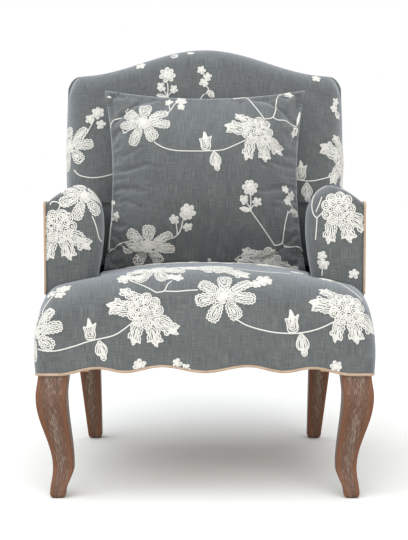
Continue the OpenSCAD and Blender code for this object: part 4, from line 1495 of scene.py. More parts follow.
BACK_PATTERN: tuple[Motif, ...] = (
    *sprig((167.5, 75)),
    Stem(((167, 97), (168, 101), (172, 110))),
    *spray((201.5, 70.5)),
    Stem(((204, 94), (200, 100), (196, 110))),
    Blossom((141, 66), 13),
    Leaf((171, 57.5), (179, 55), 0.9),
    Leaf((187, 53.5), (194, 53.5), 0.6),
    Blossom((316, 78.5)),
    Flower((71, 147), shift=(-4.0, 0.0)),
    Stem(((82, 140), (87, 133), (92, 124), (94, 120))),
    Blossom((98, 113), 16, 6),
    Blossom((90, 119.5)),
    Blossom((101, 124.5)),
    Stem(((74, 170), (79, 175), (88, 177.5), (98, 177.5), (110, 175), (140, 166), (170, 150))),
    Bloom((341, 160), shift=(8.0, 0.0)),
    Leaf((301, 180), (301, 161), 0.6),
    Leaf((307, 182), (307, 202), 0.62, Outline.PAISLEY),
    Stem(((280, 172), (290, 177), (299, 180), (312, 181), (326, 178), (336, 175))),
    Blossom((336, 102), 10),
    Blossom((334, 109), 11),
    Leaf((336, 112), (339, 120), 0.8),
    Flower((245, 120)),
)

SEAT_PATTERN: tuple[Motif, ...] = (
    Flower((36, 333), turn=6),
    Stem(((42, 315), (44, 309), (50, 300), (56, 294), (63, 290))),
    Blossom((63.5, 289), 17, 6),
    Blossom((51, 294.5)),
    Blossom((60, 295)),
    Stem(((38, 349), (46, 351), (58, 350.5), (75, 346), (90, 341), (112, 336), (123, 330), (133, 322))),
    Leaf((90.5, 340.5), (90, 319), 0.6),
    Leaf((99, 340), (105, 361), 0.62, Outline.PAISLEY),
    Bloom((145, 310.5)),
    Stem(((156, 292.5), (148, 288), (139, 284), (130, 281))),
    Stem(((156, 292.5), (164, 291), (168, 284), (172, 281))),
    Stem(((164, 291), (176, 291.5), (188, 290.5), (198, 290))),
    Blossom((126, 278.5), 19, 7),
    Blossom((138, 278), 11),
    Blossom((178, 278)),
    Blossom((171, 277), 11),
    Flower((224, 296), turn=4),
    Stem(((236, 319), (246, 325), (262, 330), (280, 333), (300, 333), (318, 329), (334, 322))),
    Stem(((243, 288), (253, 286), (262, 282))),
    Blossom((264, 280.5), 18, 7),
    Blossom((256, 284)),
    Leaf((293, 333), (291.5, 310), 0.6),
    Leaf((301, 333), (305, 356), 0.62, Outline.PAISLEY),
    Bloom((347, 308.5)),
    Stem(((332, 281), (340, 284), (350, 290), (362, 301))),
    Blossom((327, 280), 17, 6),
    Flower((155, 271)),
    Bloom((216, 268.5), leaves=(1, 4)),
    Stem(((236, 269), (262, 272), (290, 274))),
    Blossom((297, 273), 17, 6),
    Blossom((139, 365.5), 14, 6),
    Blossom((177, 363.5), 11),
    Blossom((186, 368), 10),
    Blossom((336, 366.5), 13, 6),
)

LEFT_ARM_PATTERN: tuple[Motif, ...] = (
    Bloom((59, 226), leaves=(2, 3, 4)),
    Stem(((50, 205), (52, 202), (57, 202), (60, 205), (58, 210), (54, 213))),
    Stem(((60, 205), (66, 205.5), (71, 202), (78, 197))),
    Flower((84, 196), turn=20, size=0.9),
    Stem(((92, 216), (96, 226), (99, 238), (102, 242))),
)

RIGHT_ARM_PATTERN: tuple[Motif, ...] = (
    Bloom((338, 209), leaves=(2, 3, 4)),
    Stem(((327, 186), (318, 191), (313, 199), (312, 208), (314, 215), (317, 218))),
    Stem(((317, 218), (322, 213), (325, 208))),
    Stem(((317, 218), (316.5, 228), (315.5, 240))),
    Stem(((316, 212), (319, 205), (322, 197))),
    Blossom((322, 256), 11),
    Blossom((323, 264), 13),
    Stem(((321, 252), (322.5, 260), (322, 276))),
    Blossom((354, 274), 11),
)


# Upholstery


def arm_inside_low(y: np.ndarray) -> np.ndarray:
    """Distance of the arm's inside from the middle where it meets the seat, at y."""
    low_x = FORM.arm_in + 12
    share = (y - FORM.arm_y) / FORM.arm_len
    return low_x + FORM.arm_flare * share * (FORM.arm_out - low_x) / FORM.arm_w


def scallop(x: np.ndarray) -> np.ndarray:
    """Height of the seat's lower edge above its corners."""
    h, half = FORM.scallop_h, FORM.frame_half
    knots = [(0, h / 3), (88, h), (162, h / 3), (218, h * 0.78), (half - 32, 0), (half, 0)]
    return through(knots, np.abs(x))


@dataclass
class Seat:
    """Tight seat whose front part runs in front of the arms, with its front, sides and top."""

    side_cut: float = 12.0
    bulge_z: float = FORM.frame_z + 49.0
    inner_half: float = 205.0
    tucked_down: float = 45.0
    narrow_r: float = 16.0
    side_round_h: float = 98.0
    side_shares: tuple[float, ...] = (0.12, 0.3, 0.5, 0.7, 0.85, 1.0, 1.5, 2.0, 3.0)
    face_lean: float = 4.0
    face_lean_h: float = 60.0
    piping_front: float = 3.7
    piping_up: float = 1.6
    piping_more: float = 0.5
    stuffing: tuple[float, float, float] = (0.0, 330.0, FORM.frame_z + 60)
    cloth: Cloth | None = None

    def side_half(self, z: np.ndarray) -> np.ndarray:
        """Half the seat's width at a height of its front."""
        return FORM.seat_w / 2 - self.side_cut * ((z - self.bulge_z) / self.side_round_h) ** 2

    def face_y(self, z: np.ndarray) -> np.ndarray:
        """How far the front face lies behind its fullest line."""
        return self.face_lean * ((z - self.bulge_z) / self.face_lean_h) ** 2

    def crown_drop(self, x: np.ndarray) -> np.ndarray:
        """Drop of the seat from its middle to x."""
        return FORM.seat_crown * (x / (FORM.seat_w / 2 - self.side_cut)) ** 2

    def top_z(self, y: np.ndarray) -> np.ndarray:
        """Height of the seat's middle at y."""
        back = np.maximum(0, y - FORM.crest_y) / (FORM.seat_rear_y - FORM.crest_y)
        return FORM.seat_z - FORM.seat_fall * back**2

    def height(self, x: np.ndarray, y: np.ndarray) -> np.ndarray:
        """Height of the seat's top at a place behind its crest."""
        return self.top_z(y) - self.crown_drop(x)

    def wide_rows(self, v: np.ndarray, u: np.ndarray, c: np.ndarray) -> np.ndarray:
        """Points of the front face, waterfall and ears.

        Args:
            v: 0 to 1 up the face, to 2 over the waterfall, to 3 back along the ears.
            u: Sideways, from -1 to 1.
            c: 0 to 1 back along the side, to 2 in behind the ear, to 3 under the arm's panel.

        Returns:
            Points in millimetres.
        """
        f = FORM
        z_edge = blend_values(f.seat_low, f.face_z - f.seat_crown, np.clip(v, 0, 1))
        top_half = f.seat_w / 2 - self.side_cut
        half = blend_values(self.side_half(z_edge), top_half, np.clip(v - 1, 0, 1))
        x = u * half
        fz = f.face_z - self.crown_drop(x)
        ang = np.clip(v - 1, 0, 1) * math.pi / 2
        a, b = f.crest_y - self.face_y(fz), f.seat_z - f.face_z
        on_face, on_fall = v <= 1, v <= 2
        top_y = blend_values(f.crest_y, f.ear_d - 1, np.clip(v - 2, 0, 1))
        z = np.where(
            on_face,
            blend_values(f.seat_low + scallop(x), fz, v),
            np.where(on_fall, fz + b * np.sin(ang), self.height(x, top_y)),
        )
        y = np.where(on_face, self.face_y(z), np.where(on_fall, f.crest_y - a * np.cos(ang), top_y))
        ny = np.where(on_face, -1.0, -np.cos(ang) / a)
        nz = np.where(on_face, 0.0, np.sin(ang) / b)
        length = np.hypot(ny, nz)
        r = blend_values(f.corner_low_r, f.corner_top_r, np.clip(v, 0, 1))
        q = np.clip((np.abs(x) - (half - r)) / r, 0, 1)
        drop = r * rounded_fall(q * q)
        y, z = y - ny / length * drop, z - nz / length * drop
        tucked = np.sign(u) * (f.frame_half + 1)
        x = blend_values(x, np.broadcast_to(tucked, x.shape), np.clip(c - 1, 0, 1))
        y = blend_values(y, f.ear_d - 1, np.clip(c, 0, 1)) + (f.arm_y + 9 - f.ear_d) * np.clip(c - 2, 0, 1)
        return np.stack([x, y, z], -1)

    def narrow_rows(self, y: np.ndarray, x: np.ndarray, turn: np.ndarray, down: np.ndarray) -> np.ndarray:
        """Points of the seat between the arms.

        Args:
            y: Distance from the seat's front.
            x: Sideways place on the flat part, for places that have one.
            turn: Share of the rounding at the side, from 0 to 1.
            down: Way down the side below the rounding, in millimetres.

        Returns:
            Points in millimetres.
        """
        half = arm_inside_low(y) - 1
        edge = half - self.narrow_r
        spread = edge / self.inner_half
        side = np.sign(x)
        ang = turn * math.pi / 2
        px = np.where(turn > 0, side * (edge + self.narrow_r * np.sin(ang)), x * spread)
        flat_x = np.clip(px, -edge, edge)
        z = self.height(flat_x, y) - self.narrow_r * (1 - np.cos(ang)) - down
        return np.stack([px, np.broadcast_to(y, px.shape), z], -1)

    def build(self) -> None:
        """Work out the cover's grid."""
        inner = np.linspace(-self.inner_half, self.inner_half, 101)
        top_half = FORM.seat_w / 2 - self.side_cut
        to_corner = np.linspace(self.inner_half / top_half, 0.9, 12)[1:]
        out_u = np.concatenate([to_corner, slowing(0.9, 1.0, 22)[1:]])
        side_c = np.array(self.side_shares)
        u = np.concatenate([inner / top_half, out_u, np.ones(len(side_c))])
        c = np.concatenate([np.zeros(len(inner) + len(out_u)), side_c])
        u = np.concatenate([-u[len(inner) :][::-1], u])
        c = np.concatenate([c[len(inner) :][::-1], c])
        v = np.concatenate([np.linspace(0, 1, 25)[:-1], np.linspace(1, 2, 41)[:-1], np.linspace(2, 3, 4)])
        wide = self.wide_rows(v[:, None], u[None, :], c[None, :])
        outer = len(out_u) + len(side_c)
        turn = np.concatenate([np.linspace(0, 1, 9)[1:], np.ones(outer - 8)])
        down = np.concatenate([np.zeros(8), np.linspace(0, self.tucked_down, outer - 7)[1:]])
        turn = np.concatenate([turn[::-1], np.zeros(len(inner)), turn])
        down = np.concatenate([down[::-1], np.zeros(len(inner)), down])
        x = np.concatenate([np.full(outer, -self.inner_half), inner, np.full(outer, self.inner_half)])
        rear = np.linspace(FORM.ear_d + 12, FORM.seat_rear_y, 46)
        y = np.concatenate([[FORM.ear_d + 2, FORM.ear_d + 6], rear])
        narrow = self.narrow_rows(y[:, None], x[None, :], turn[None, :], down[None, :])
        self.cloth = Cloth.from_points(np.concatenate([wide, narrow]))

    def dress(self, finishes: Finishes) -> None:
        """Make the cover, its embroidery and its scalloped piping."""
        cover = cloth_piece("seat_upholstery", self.cloth, self.stuffing)
        dress(cover, finishes.linen)
        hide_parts("seat_cover", "seat_side_panels")
        surface = Surface(self.cloth, self.stuffing)
        embroider("seat_embroidery", surface, 11, [(PhotoView(), SEAT_PATTERN)], finishes)
        from_above = LevelView((0, self.stuffing[1], FORM.seat_z), (1, 0, 0), (0, 0, -1), (0, -1, 0))
        embroider("seat_top_embroidery", surface, 12, [(from_above, SEAT_TOP_PATTERN)], finishes)
        self._piping(finishes)

    def _piping(self, finishes: Finishes) -> None:
        """Piping along the whole lower edge, round the corners and back along the sides."""
        f = FORM
        side_x = float(self.side_half(f.frame_z)) - 2
        front, r, low = self.piping_front, f.corner_low_r - 2, f.frame_z - f.piping_r + self.piping_up
        far_x = f.frame_half + f.piping_r + 0.7
        knots = [
            (far_x, f.frame_d - 12),
            (far_x, (f.frame_d + f.ear_d) / 2),
            (far_x, f.ear_d + 60),
            (far_x + 1, f.ear_d + 40),
            ((far_x + side_x) / 2, f.ear_d + 15),
            (side_x - 0.5, f.ear_d - 8),
            (side_x, f.ear_d - 30),
        ]
        side = rounded_curve(np.array(knots), np.linspace(0, len(knots) - 1, 90))
        a = np.linspace(0, math.pi / 2, 10)[1:]
        bend = np.stack([side_x - r + r * np.cos(a), front + r - r * np.sin(a)], -1)
        half = np.concatenate([side, bend])
        x = np.linspace(side_x - r, -(side_x - r), 260)[1:-1]
        across = np.stack([x, np.full_like(x, front), low + scallop(x)], -1)
        right = np.column_stack([half, np.full(len(half), low)])
        left = right[::-1] * [-1, 1, 1]
        path = np.concatenate([right, across, left])
        radius = f.piping_r + self.piping_more
        piece = piping_welt("seat_piping", path, (0.0, 0.0, 1.0), radius, finishes.piping)
        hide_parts("seat_piping")


@dataclass
class Back:
    """Raked camel back with a crowned inside and a plain outside panel."""

    ARM_REACH = ((0.0, 0.09, 0.37, 0.7), (0.9, 0.9, 0.958, 1.0))

    shoulder_drop: float = 50.0
    shoulder_r: float = 32.0
    side_bow: float = 2.5
    outside_bulge: float = 3.0
    stuffing: tuple[float, float, float] = (0.0, FORM.frame_d, FORM.frame_z + 350)
    low_l: float = 160.0
    narrow_half: float = FORM.arm_in + FORM.arm_flare - 3
    narrow_r: float = 20.0
    wall_end: float = 2.4
    tuck: float = 62.4
    cloth: Cloth | None = None
    outside: Cloth | None = None

    @property
    def camel_half(self) -> float:
        """Half the width of the camel curve, up to the shoulders' rounding."""
        return FORM.back_w / 2 - self.shoulder_r

    def camel(self, x: np.ndarray) -> np.ndarray:
        """Height of the crest at x, along the raked back."""
        a = np.minimum(np.abs(x), self.camel_half)
        q = np.clip((np.abs(x) - self.camel_half) / self.shoulder_r, 0, 1)
        wave = FORM.camel_rise * (1 + np.cos(math.pi * a / self.camel_half)) / 2
        return FORM.shoulder_l + wave - self.shoulder_drop * rounded_fall(q * q)

    def surface(self, u: np.ndarray, v: np.ndarray) -> tuple[np.ndarray, np.ndarray, np.ndarray]:
        """Points of the inside back in its raked frame.

        Args:
            u: Sideways, from -1 to 1.
            v: 0 to 1 between the arms, 1 to 2 above them.

        Returns:
            Sideways place, place behind the outside back, and height.
        """
        f = FORM
        narrow = v <= 1
        share = np.where(narrow, v, v - 1)
        wide = f.back_w / 2 - self.side_bow * (2 * share - 1) ** 2
        reach = np.interp(share, self.ARM_REACH[0], self.ARM_REACH[1])
        between = f.arm_out - reach * (f.arm_w - f.arm_flare) - 1
        half = np.where(narrow, between, wide)
        above_arms = f.back_w / 2 - self.side_bow
        crown_half = np.where(narrow, blend_values(self.narrow_half, above_arms, share), wide)
        r = np.where(narrow, blend_values(self.narrow_r, 0.01, share), f.back_edge_r)
        x = u * half
        high = self.camel(x)
        z = np.where(
            narrow, blend_values(self.low_l, f.wing_l - 2, share), blend_values(f.wing_l, high, share)
        )
        mid = (self.low_l + f.shoulder_l) / 2
        flatter = 1 - 0.5 * ((z - mid) / (f.shoulder_l - mid)) ** 2
        crown = f.back_crown * (1 - np.minimum(1, (x / crown_half) ** 2)) * flatter
        qx = np.clip((np.abs(x) - (half - r)) / r, 0, 1)
        qz = np.clip((z - (high - r)) / r, 0, 1)
        drop = r * rounded_fall(qx**2 + qz**2)
        return x, -(f.back_t + np.maximum(0, crown) - drop), z

    def build(self) -> None:
        """Work out the grids of the inside cover and the outside panel."""
        edge = slowing(0.87, 1.0, 16)
        u = np.concatenate([-edge[::-1], np.linspace(-0.87, 0.87, 75)[1:-1], edge])
        v = np.concatenate(
            [np.linspace(0, 1, 14), [1.0005], np.linspace(1.01, 1.84, 44), slowing(1.84, 2.0, 18)[1:]]
        )
        x, y, z = self.surface(u[None, :], v[:, None])
        end = np.where(v <= 1, -self.tuck, -self.wall_end)[:, None]
        shares = np.array([0.25, 0.5, 0.75, 1.0])
        left = y[:, :1] + (end - y[:, :1]) * shares[::-1]
        right = y[:, -1:] + (end - y[:, -1:]) * shares
        y = np.concatenate([left, y, right], 1)
        y = np.concatenate([y, y[-1] + (-self.wall_end - y[-1]) * shares[:, None]])
        x, z = (np.pad(grid, ((0, 4), (4, 4)), mode="edge") for grid in (x, z))
        self.cloth = Cloth.from_points(FORM.in_back(x, y, z))
        half = FORM.frame_half + 1
        u, v = np.linspace(-1, 1, 61)[None, :], np.linspace(0, 1, 61)[:, None]
        px = u * half + 0 * v
        pz = v * (self.camel(px) - 1)
        bulge = self.outside_bulge * bulged((1 + u) / 2, v)
        self.outside = Cloth.from_points(FORM.in_back(px, bulge - FORM.sewn_gap, pz))

    def dress(self, finishes: Finishes) -> None:
        """Make the covers and their embroidery."""
        cover = cloth_piece("back_upholstery", self.cloth, self.stuffing)
        dress(cover, finishes.linen)
        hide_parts("inside_back_cover")
        surface = Surface(self.cloth, self.stuffing)
        embroider("back_embroidery", surface, 23, [(PhotoView(), BACK_PATTERN)], finishes)
        before = (0.0, 300.0, FORM.frame_z + 350)
        panel = cloth_piece("outside_back_upholstery", self.outside, before)
        dress(panel, finishes.linen)
        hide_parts("outside_back_panel")
        behind = LevelView((0, FORM.frame_d, FORM.frame_z + 330), (-1, 0, 0), (0, -1, 0))
        repeats = [(behind, repeat_unit(x, y)) for x in (-135.0, 48.0) for y in (-125.0, 15.0, 155.0)]
        embroider("outside_back_embroidery", Surface(self.outside, before), 31, repeats, finishes)


@dataclass
class Arm:
    """One arm, wrapped in a single cover from its piped outer corner over the crown to the seat."""

    side: int
    columns: int = 97
    tail: float = 14.0
    piping_out: float = 2.3
    piping_bend: float = 9.0
    outside_bulge: float = 2.4
    cloth: Cloth | None = None
    outside: Cloth | None = None

    @property
    def name(self) -> str:
        """Word for the viewer's side."""
        return "left" if self.side < 0 else "right"

    def _outline(self) -> np.ndarray:
        """Knots of the cover's section, from the outer corner down to the seat."""
        f = FORM
        high = f.arm_top - f.arm_low
        corner = [(0.0, f.arm_corner), (0.184, f.arm_corner / 2), (0.393, f.arm_corner / 9)]
        over = [(0.619, 0), (0.841, 0.077), (0.975, 0.214), (1, 0.419)]
        rest = over + [(0.958, 0.632), (0.9, 0.812), (0.9, 1)]
        knots = corner + [(across, down * high) for across, down in rest]
        return np.array([(f.arm_out - across * f.arm_w, f.arm_top - down) for across, down in knots])

    def build(self) -> None:
        """Work out the grids of the wrapped cover and the outside panel."""
        f = FORM
        s = np.linspace(0, 9, self.columns)
        ring = rounded_curve(self._outline(), s)
        rounding = blend_values(f.arm_edge_r, f.arm_front_r, np.clip(s / 3, 0, 1))
        g = np.concatenate([np.linspace(0, 0.6, 12)[:-1], slowing(0.6, 1.0, 24)])[:, None, None]
        low = f.arm_corner_z - 6 - (f.arm_corner_z - 6 - f.arm_low) * (s / 9) ** 1.5
        outer = np.stack([np.full_like(s, f.arm_out), low], -1)
        face = outer + (ring - outer) * g
        depth = f.arm_y + rounding * rounded_fall(g[..., 0] ** 4)
        front = np.stack([face[..., 0], np.broadcast_to(depth, face.shape[:2]), face[..., 1]], -1)
        share = np.linspace(0, 1, 40)[1:, None]
        end = f.raked_y(-f.arm_plane, ring[:, 1]) + self.tail
        start = f.arm_y + rounding
        y = start + (end - start) * share
        back = (y - f.arm_y) / f.arm_len
        x = ring[:, 0] + f.arm_flare * back * (f.arm_out - ring[:, 0]) / f.arm_w
        high = np.clip((ring[:, 1] - f.arm_low) / (f.arm_corner_z - f.arm_low), 0, 1)
        z = ring[:, 1] - f.arm_fall * back * high
        body = np.stack([x, y, z], -1)
        points = np.concatenate([front, body])
        arc = np.concatenate([[0], np.cumsum(np.linalg.norm(np.diff(ring, axis=0), axis=1))])
        flat = np.concatenate([face, np.stack([y, np.broadcast_to(-arc, y.shape)], -1)])
        points[..., 0] *= self.side
        self.cloth = Cloth(points, flat)
        self._build_outside()

    def _build_outside(self) -> None:
        """Work out the outside panel, from the arm's front to the outside back."""
        f = FORM
        y0 = f.arm_y + 2.5
        y_turn = float(f.raked_y(-f.arm_plane, f.arm_corner_z - f.arm_fall)) - 1
        first, last = np.linspace(0, 0.06, 4)[:-1], np.linspace(0.94, 1, 4)[1:]
        u = np.concatenate([first, np.linspace(0.06, 0.94, 60), last])[None, :]
        v = np.concatenate([first, np.linspace(0.06, 0.94, 30), last])[:, None]
        guess = blend_values(f.seat_low, f.arm_corner_z - f.arm_fall, v)
        y = blend_values(y0, f.raked_y(-2.6, guess), u)
        slope = f.arm_corner_z - 1.5 - f.arm_fall * (y - f.arm_y) / f.arm_len
        wing = f.frame_z + (f.wing_l - (y - f.frame_d) * math.sin(f.rake)) / math.cos(f.rake) - 0.8
        top = np.where(y < y_turn, slope, np.minimum(f.arm_corner_z - 1.5 - f.arm_fall, wing))
        z = blend_values(f.seat_low, top, v)
        x = f.frame_half + f.sewn_gap + LINED_CLOTH_MM + self.outside_bulge * bulged(u, v)
        y = blend_values(y0, f.raked_y(-2.6, z), u)
        self.outside = Cloth.from_points(np.stack([self.side * x, y, z], -1))

    def dress(self, finishes: Finishes) -> None:
        """Make the cover, the outside panel, their embroidery and the piping."""
        left = self.side < 0
        inside = (self.side * (FORM.arm_out - 40), 380.0, FORM.arm_top - 110)
        cover = cloth_piece(f"{self.name}_arm_upholstery", self.cloth, inside)
        dress(cover, finishes.linen)
        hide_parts(f"{self.name}_arm_cover")
        middle_x, flower_y = self.side * (FORM.arm_out - FORM.arm_w / 2), 330.0 if left else 500.0
        crown_middle = (middle_x, flower_y, FORM.arm_top - 40)
        aim, down = (self.side * 0.6, 0, -0.8), (-self.side * 0.8, 0, -0.6)
        drawings = [
            (PhotoView(), LEFT_ARM_PATTERN if left else RIGHT_ARM_PATTERN),
            (LevelView(crown_middle, (0, -self.side, 0), aim, down), ARM_TOP_PATTERN),
        ]
        surface = Surface(self.cloth, inside)
        embroider(f"{self.name}_arm_embroidery", surface, 41 + self.side, drawings, finishes)
        middle = (0.0, 380.0, FORM.frame_z + 170)
        panel = cloth_piece(f"{self.name}_outside_arm_upholstery", self.outside, middle)
        dress(panel, finishes.linen)
        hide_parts(f"{self.name}_outside_arm_panel")
        view = LevelView((0, 340, FORM.frame_z + 170), (0, self.side, 0), (-self.side, 0, 0))
        repeats = [(view, repeat_unit(x, y)) for x in (-150.0, 33.0) for y in (-15.0, 125.0)]
        surface = Surface(self.outside, middle)
        embroider(f"{self.name}_outside_arm_embroidery", surface, 51 + self.side, repeats, finishes)
        self._piping(finishes)

    def _piping(self, finishes: Finishes) -> None:
        """Piping up the outer front edge, over the corner and back along the top."""
        f = FORM
        x, front, r = f.arm_out + self.piping_out, f.arm_y - self.piping_out, self.piping_bend
        top, low = f.arm_corner_z + 2, f.arm_low + 8
        end = float(f.raked_y(-f.arm_plane, top - f.arm_fall)) - 4
        rise = [(front, z) for z in np.linspace(low, top - r, 40)]
        quarter = np.linspace(0, math.pi / 2, 12)[1:-1]
        bend = [(front + r - r * math.cos(a), top - r + r * math.sin(a)) for a in quarter]
        run = [(y, top - f.arm_fall * (y - f.arm_y) / f.arm_len) for y in np.linspace(front + r, end, 70)]
        yz = np.array(rise + bend + run)
        path = np.column_stack([np.full(len(yz), self.side * x), yz])
        across = (self.side, 0.0, 0.0)
        piece = piping_welt(f"{self.name}_arm_piping", path, across, f.piping_r, finishes.piping)
        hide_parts(f"{self.name}_arm_piping")


@dataclass
class ThrowPillow:
    """Knife-edged throw pillow: two squares of cloth sewn together and filled by pressure."""

    MASS = 0.25
    TENSION = 40
    SHEAR = 12
    BENDING = 0.4
    DAMPING = 2.0
    PRESSURE = 7.0
    EXTRA_CLOTH = (-0.03, -0.11)
    LOOSE_FROM = 0.7
    LOOSE_RUN = 1.1
    FRAMES = 45
    GAP = 0.8
    FILLING = 0.88
    BLANK_HALF = 30.0
    PLAIN_POWER = 0.42
    LEAN_SHARE = 0.35
    SEAM_MM = 0.02
    REAR_FLAT = (600.0, 90.0)

    width: float = 474.0
    height: float = 430.0
    thickness: float = 150.0
    draw: float = 20.0
    cells: int = 72
    front: Cloth | None = None
    rear: Cloth | None = None

    def build(self, seat: Seat) -> None:
        """Inflate the pillow, size it and let it rest on the seat and against the back.

        Args:
            seat: The seat that it stands on.
        """
        local = self._inflated()
        points = self._placed(local, seat)
        n = self.cells + 1
        across = np.linspace(-self.width / 2, self.width / 2, n)
        up = np.linspace(0, self.height, n)
        flat = np.stack(np.meshgrid(across, up), -1)
        self.front = Cloth(points[0], flat).finer()
        self.rear = Cloth(points[1], flat + self.REAR_FLAT).finer()

    def _grid(self) -> tuple[np.ndarray, np.ndarray]:
        """Places -1 to 1 over the pillow, sideways and up."""
        line = np.linspace(-1, 1, self.cells + 1)
        return np.meshgrid(line, line)

    def _blank(self, power: float, full: float) -> np.ndarray:
        """Front and rear on the outline of the seam.

        Args:
            power: How soon the thickness rises from the seam.
            full: Half of the thickness in the middle.
        """
        u, v = self._grid()
        x = u * (self.width / 2 - self.draw * (1 - v**2))
        z = v * (self.height / 2 - self.draw * (1 - u**2))
        half = np.clip((1 - u**2) * (1 - v**2), 0, 1) ** power * full
        return np.array([np.stack([x, -half, z], -1), np.stack([x, half, z], -1)])

    def _inflated(self) -> np.ndarray:
        """Simulated pillow: cloth joined at the seam and filled, with loose cloth at the lower corners.

        Returns:
            Front and rear grids in the pillow's own frame.
        """
        u, v = self._grid()
        n = self.cells + 1
        front, rear = (side.reshape(-1, 3) for side in self._blank(0.5, self.BLANK_HALF))
        index = np.arange(n * n).reshape(n, n)
        border = np.zeros((n, n), bool)
        border[[0, -1], :] = border[:, [0, -1]] = True
        rear_index = np.full(n * n, -1)
        inner = ~border.ravel()
        rear_index[inner] = n * n + np.arange(inner.sum())
        rear_index[~inner] = np.arange(n * n)[~inner]
        grid = Cloth(front.reshape(n, n, 3), np.zeros((n, n, 2))).quads()
        faces = np.concatenate([grid, rear_index[grid][:, ::-1]])
        data = bpy.data.meshes.new("pillow_blank")
        data.from_pydata((np.concatenate([front, rear[inner]]) * MM).tolist(), [], faces.tolist())
        blank = link_piece("pillow_blank", data)
        cloth = blank.modifiers.new("filling", "CLOTH")
        rules = cloth.settings
        rules.quality = 8
        rules.mass = self.MASS
        rules.tension_stiffness = rules.compression_stiffness = self.TENSION
        rules.shear_stiffness = self.SHEAR
        rules.bending_stiffness = self.BENDING
        rules.air_damping = self.DAMPING
        rules.use_pressure = True
        rules.uniform_pressure_force = self.PRESSURE
        rules.effector_weights.gravity = 0.0
        seam = blank.vertex_groups.new(name="seam")
        seam.add(index[border].tolist(), 1.0, "REPLACE")
        rules.vertex_group_mass = "seam"
        loose = blank.vertex_groups.new(name="loose")
        towards_corner = u**2 + np.clip(-v, 0, 1) ** 2
        share = np.clip((towards_corner - self.LOOSE_FROM) / self.LOOSE_RUN, 0, 1).ravel()
        for k in np.flatnonzero(share > 0):
            loose.add([int(k), int(rear_index[k])], float(share[k]), "REPLACE")
        rules.vertex_group_shrink = "loose"
        rules.shrink_min, rules.shrink_max = self.EXTRA_CLOTH
        scene = bpy.context.scene
        cloth.point_cache.frame_start, cloth.point_cache.frame_end = 1, self.FRAMES
        for frame in range(1, self.FRAMES + 1):
            scene.frame_set(frame)
        graph = bpy.context.evaluated_depsgraph_get()
        result = blank.evaluated_get(graph).to_mesh()
        co = np.empty(len(result.vertices) * 3)
        result.vertices.foreach_get("co", co)
        co = co.reshape(-1, 3) / MM
        scene.frame_set(1)
        bpy.data.objects.remove(blank)
        local = np.array([co[index.ravel()], co[rear_index]]).reshape(2, n, n, 3)
        LOG.info("pillow inflated to %s mm", np.ptp(co, axis=0).round(1))
        return self._fitted(local)

    def _fitted(self, local: np.ndarray) -> np.ndarray:
        """Bring the simulated pillow to its measured size from corner to corner and in thickness."""
        corners = local[0][[0, 0, -1, -1], [0, -1, 0, -1]]
        span = np.ptp(corners, axis=0)
        thick = np.ptp(local[..., 1])
        local = local - [corners[:, 0].mean(), local[..., 1].mean(), corners[:, 2].mean()]
        return local * [self.width / span[0], self.thickness / thick, self.height / span[2]]

    def _placed(self, local: np.ndarray, seat: Seat) -> np.ndarray:
        """Stand the pillow on the seat and lean it on the back.

        Args:
            local: Front and rear grids in the pillow's own frame.
            seat: The seat.

        Returns:
            The grids in the chair's frame.
        """
        f = FORM
        y_mid = -(f.back_t + f.back_crown + self.thickness / 2)
        lean = self.LEAN_SHARE * self.height * math.sin(f.rake)
        foot_y = f.frame_d + y_mid * math.cos(f.rake) + lean
        rest = float(seat.top_z(np.array(foot_y))) - f.frame_z + y_mid * math.sin(f.rake)
        low = rest / math.cos(f.rake) - self.draw
        points = f.in_back(local[..., 0], local[..., 1] + y_mid, local[..., 2] + low + self.height / 2)
        floor = seat.height(points[..., 0], points[..., 1]) + self.GAP
        lift = np.maximum(0, floor - points[..., 2])
        points[..., 2] += lift
        return points

    def dress(self, finishes: Finishes) -> None:
        """Make the cover with its seam, and its embroidery."""
        front, rear = self.front, self.rear
        points = np.concatenate([front.points.reshape(-1, 3), rear.points.reshape(-1, 3)])
        cover = self._closed("pillow_upholstery", points)
        dress(cover, finishes.linen, PILLOW)
        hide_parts("pillow_cover")
        middle = points.mean(0)
        filling = self._closed("pillow_filling", middle + (points - middle) * self.FILLING)
        dress(filling, InnerFinish.COTTON_CASE.value.material(), PILLOW)
        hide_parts("pillow_insert")
        surface = Surface(front, tuple(rear.points.reshape(-1, 3).mean(0)))
        embroider("pillow_embroidery", surface, 61, [(PhotoView(), PILLOW_PATTERN)], finishes, PILLOW)

    def _closed(self, name: str, points: np.ndarray) -> bpy.types.Object:
        """Mesh of front and rear, joined at the seam.

        Args:
            name: Name of the piece.
            points: Points of the front, then of the rear.

        Returns:
            The piece.
        """
        faces = self.front.quads()
        flat = np.concatenate([self.front.flat.reshape(-1, 2), self.rear.flat.reshape(-1, 2)])
        quads = np.concatenate([faces, faces[:, ::-1] + len(points) // 2])
        piece = build_mesh(name, points, quads, flat)
        piece.modifiers.new("seam", "WELD").merge_threshold = self.SEAM_MM * MM
        apply_modifiers(piece)
        return piece


# Legs


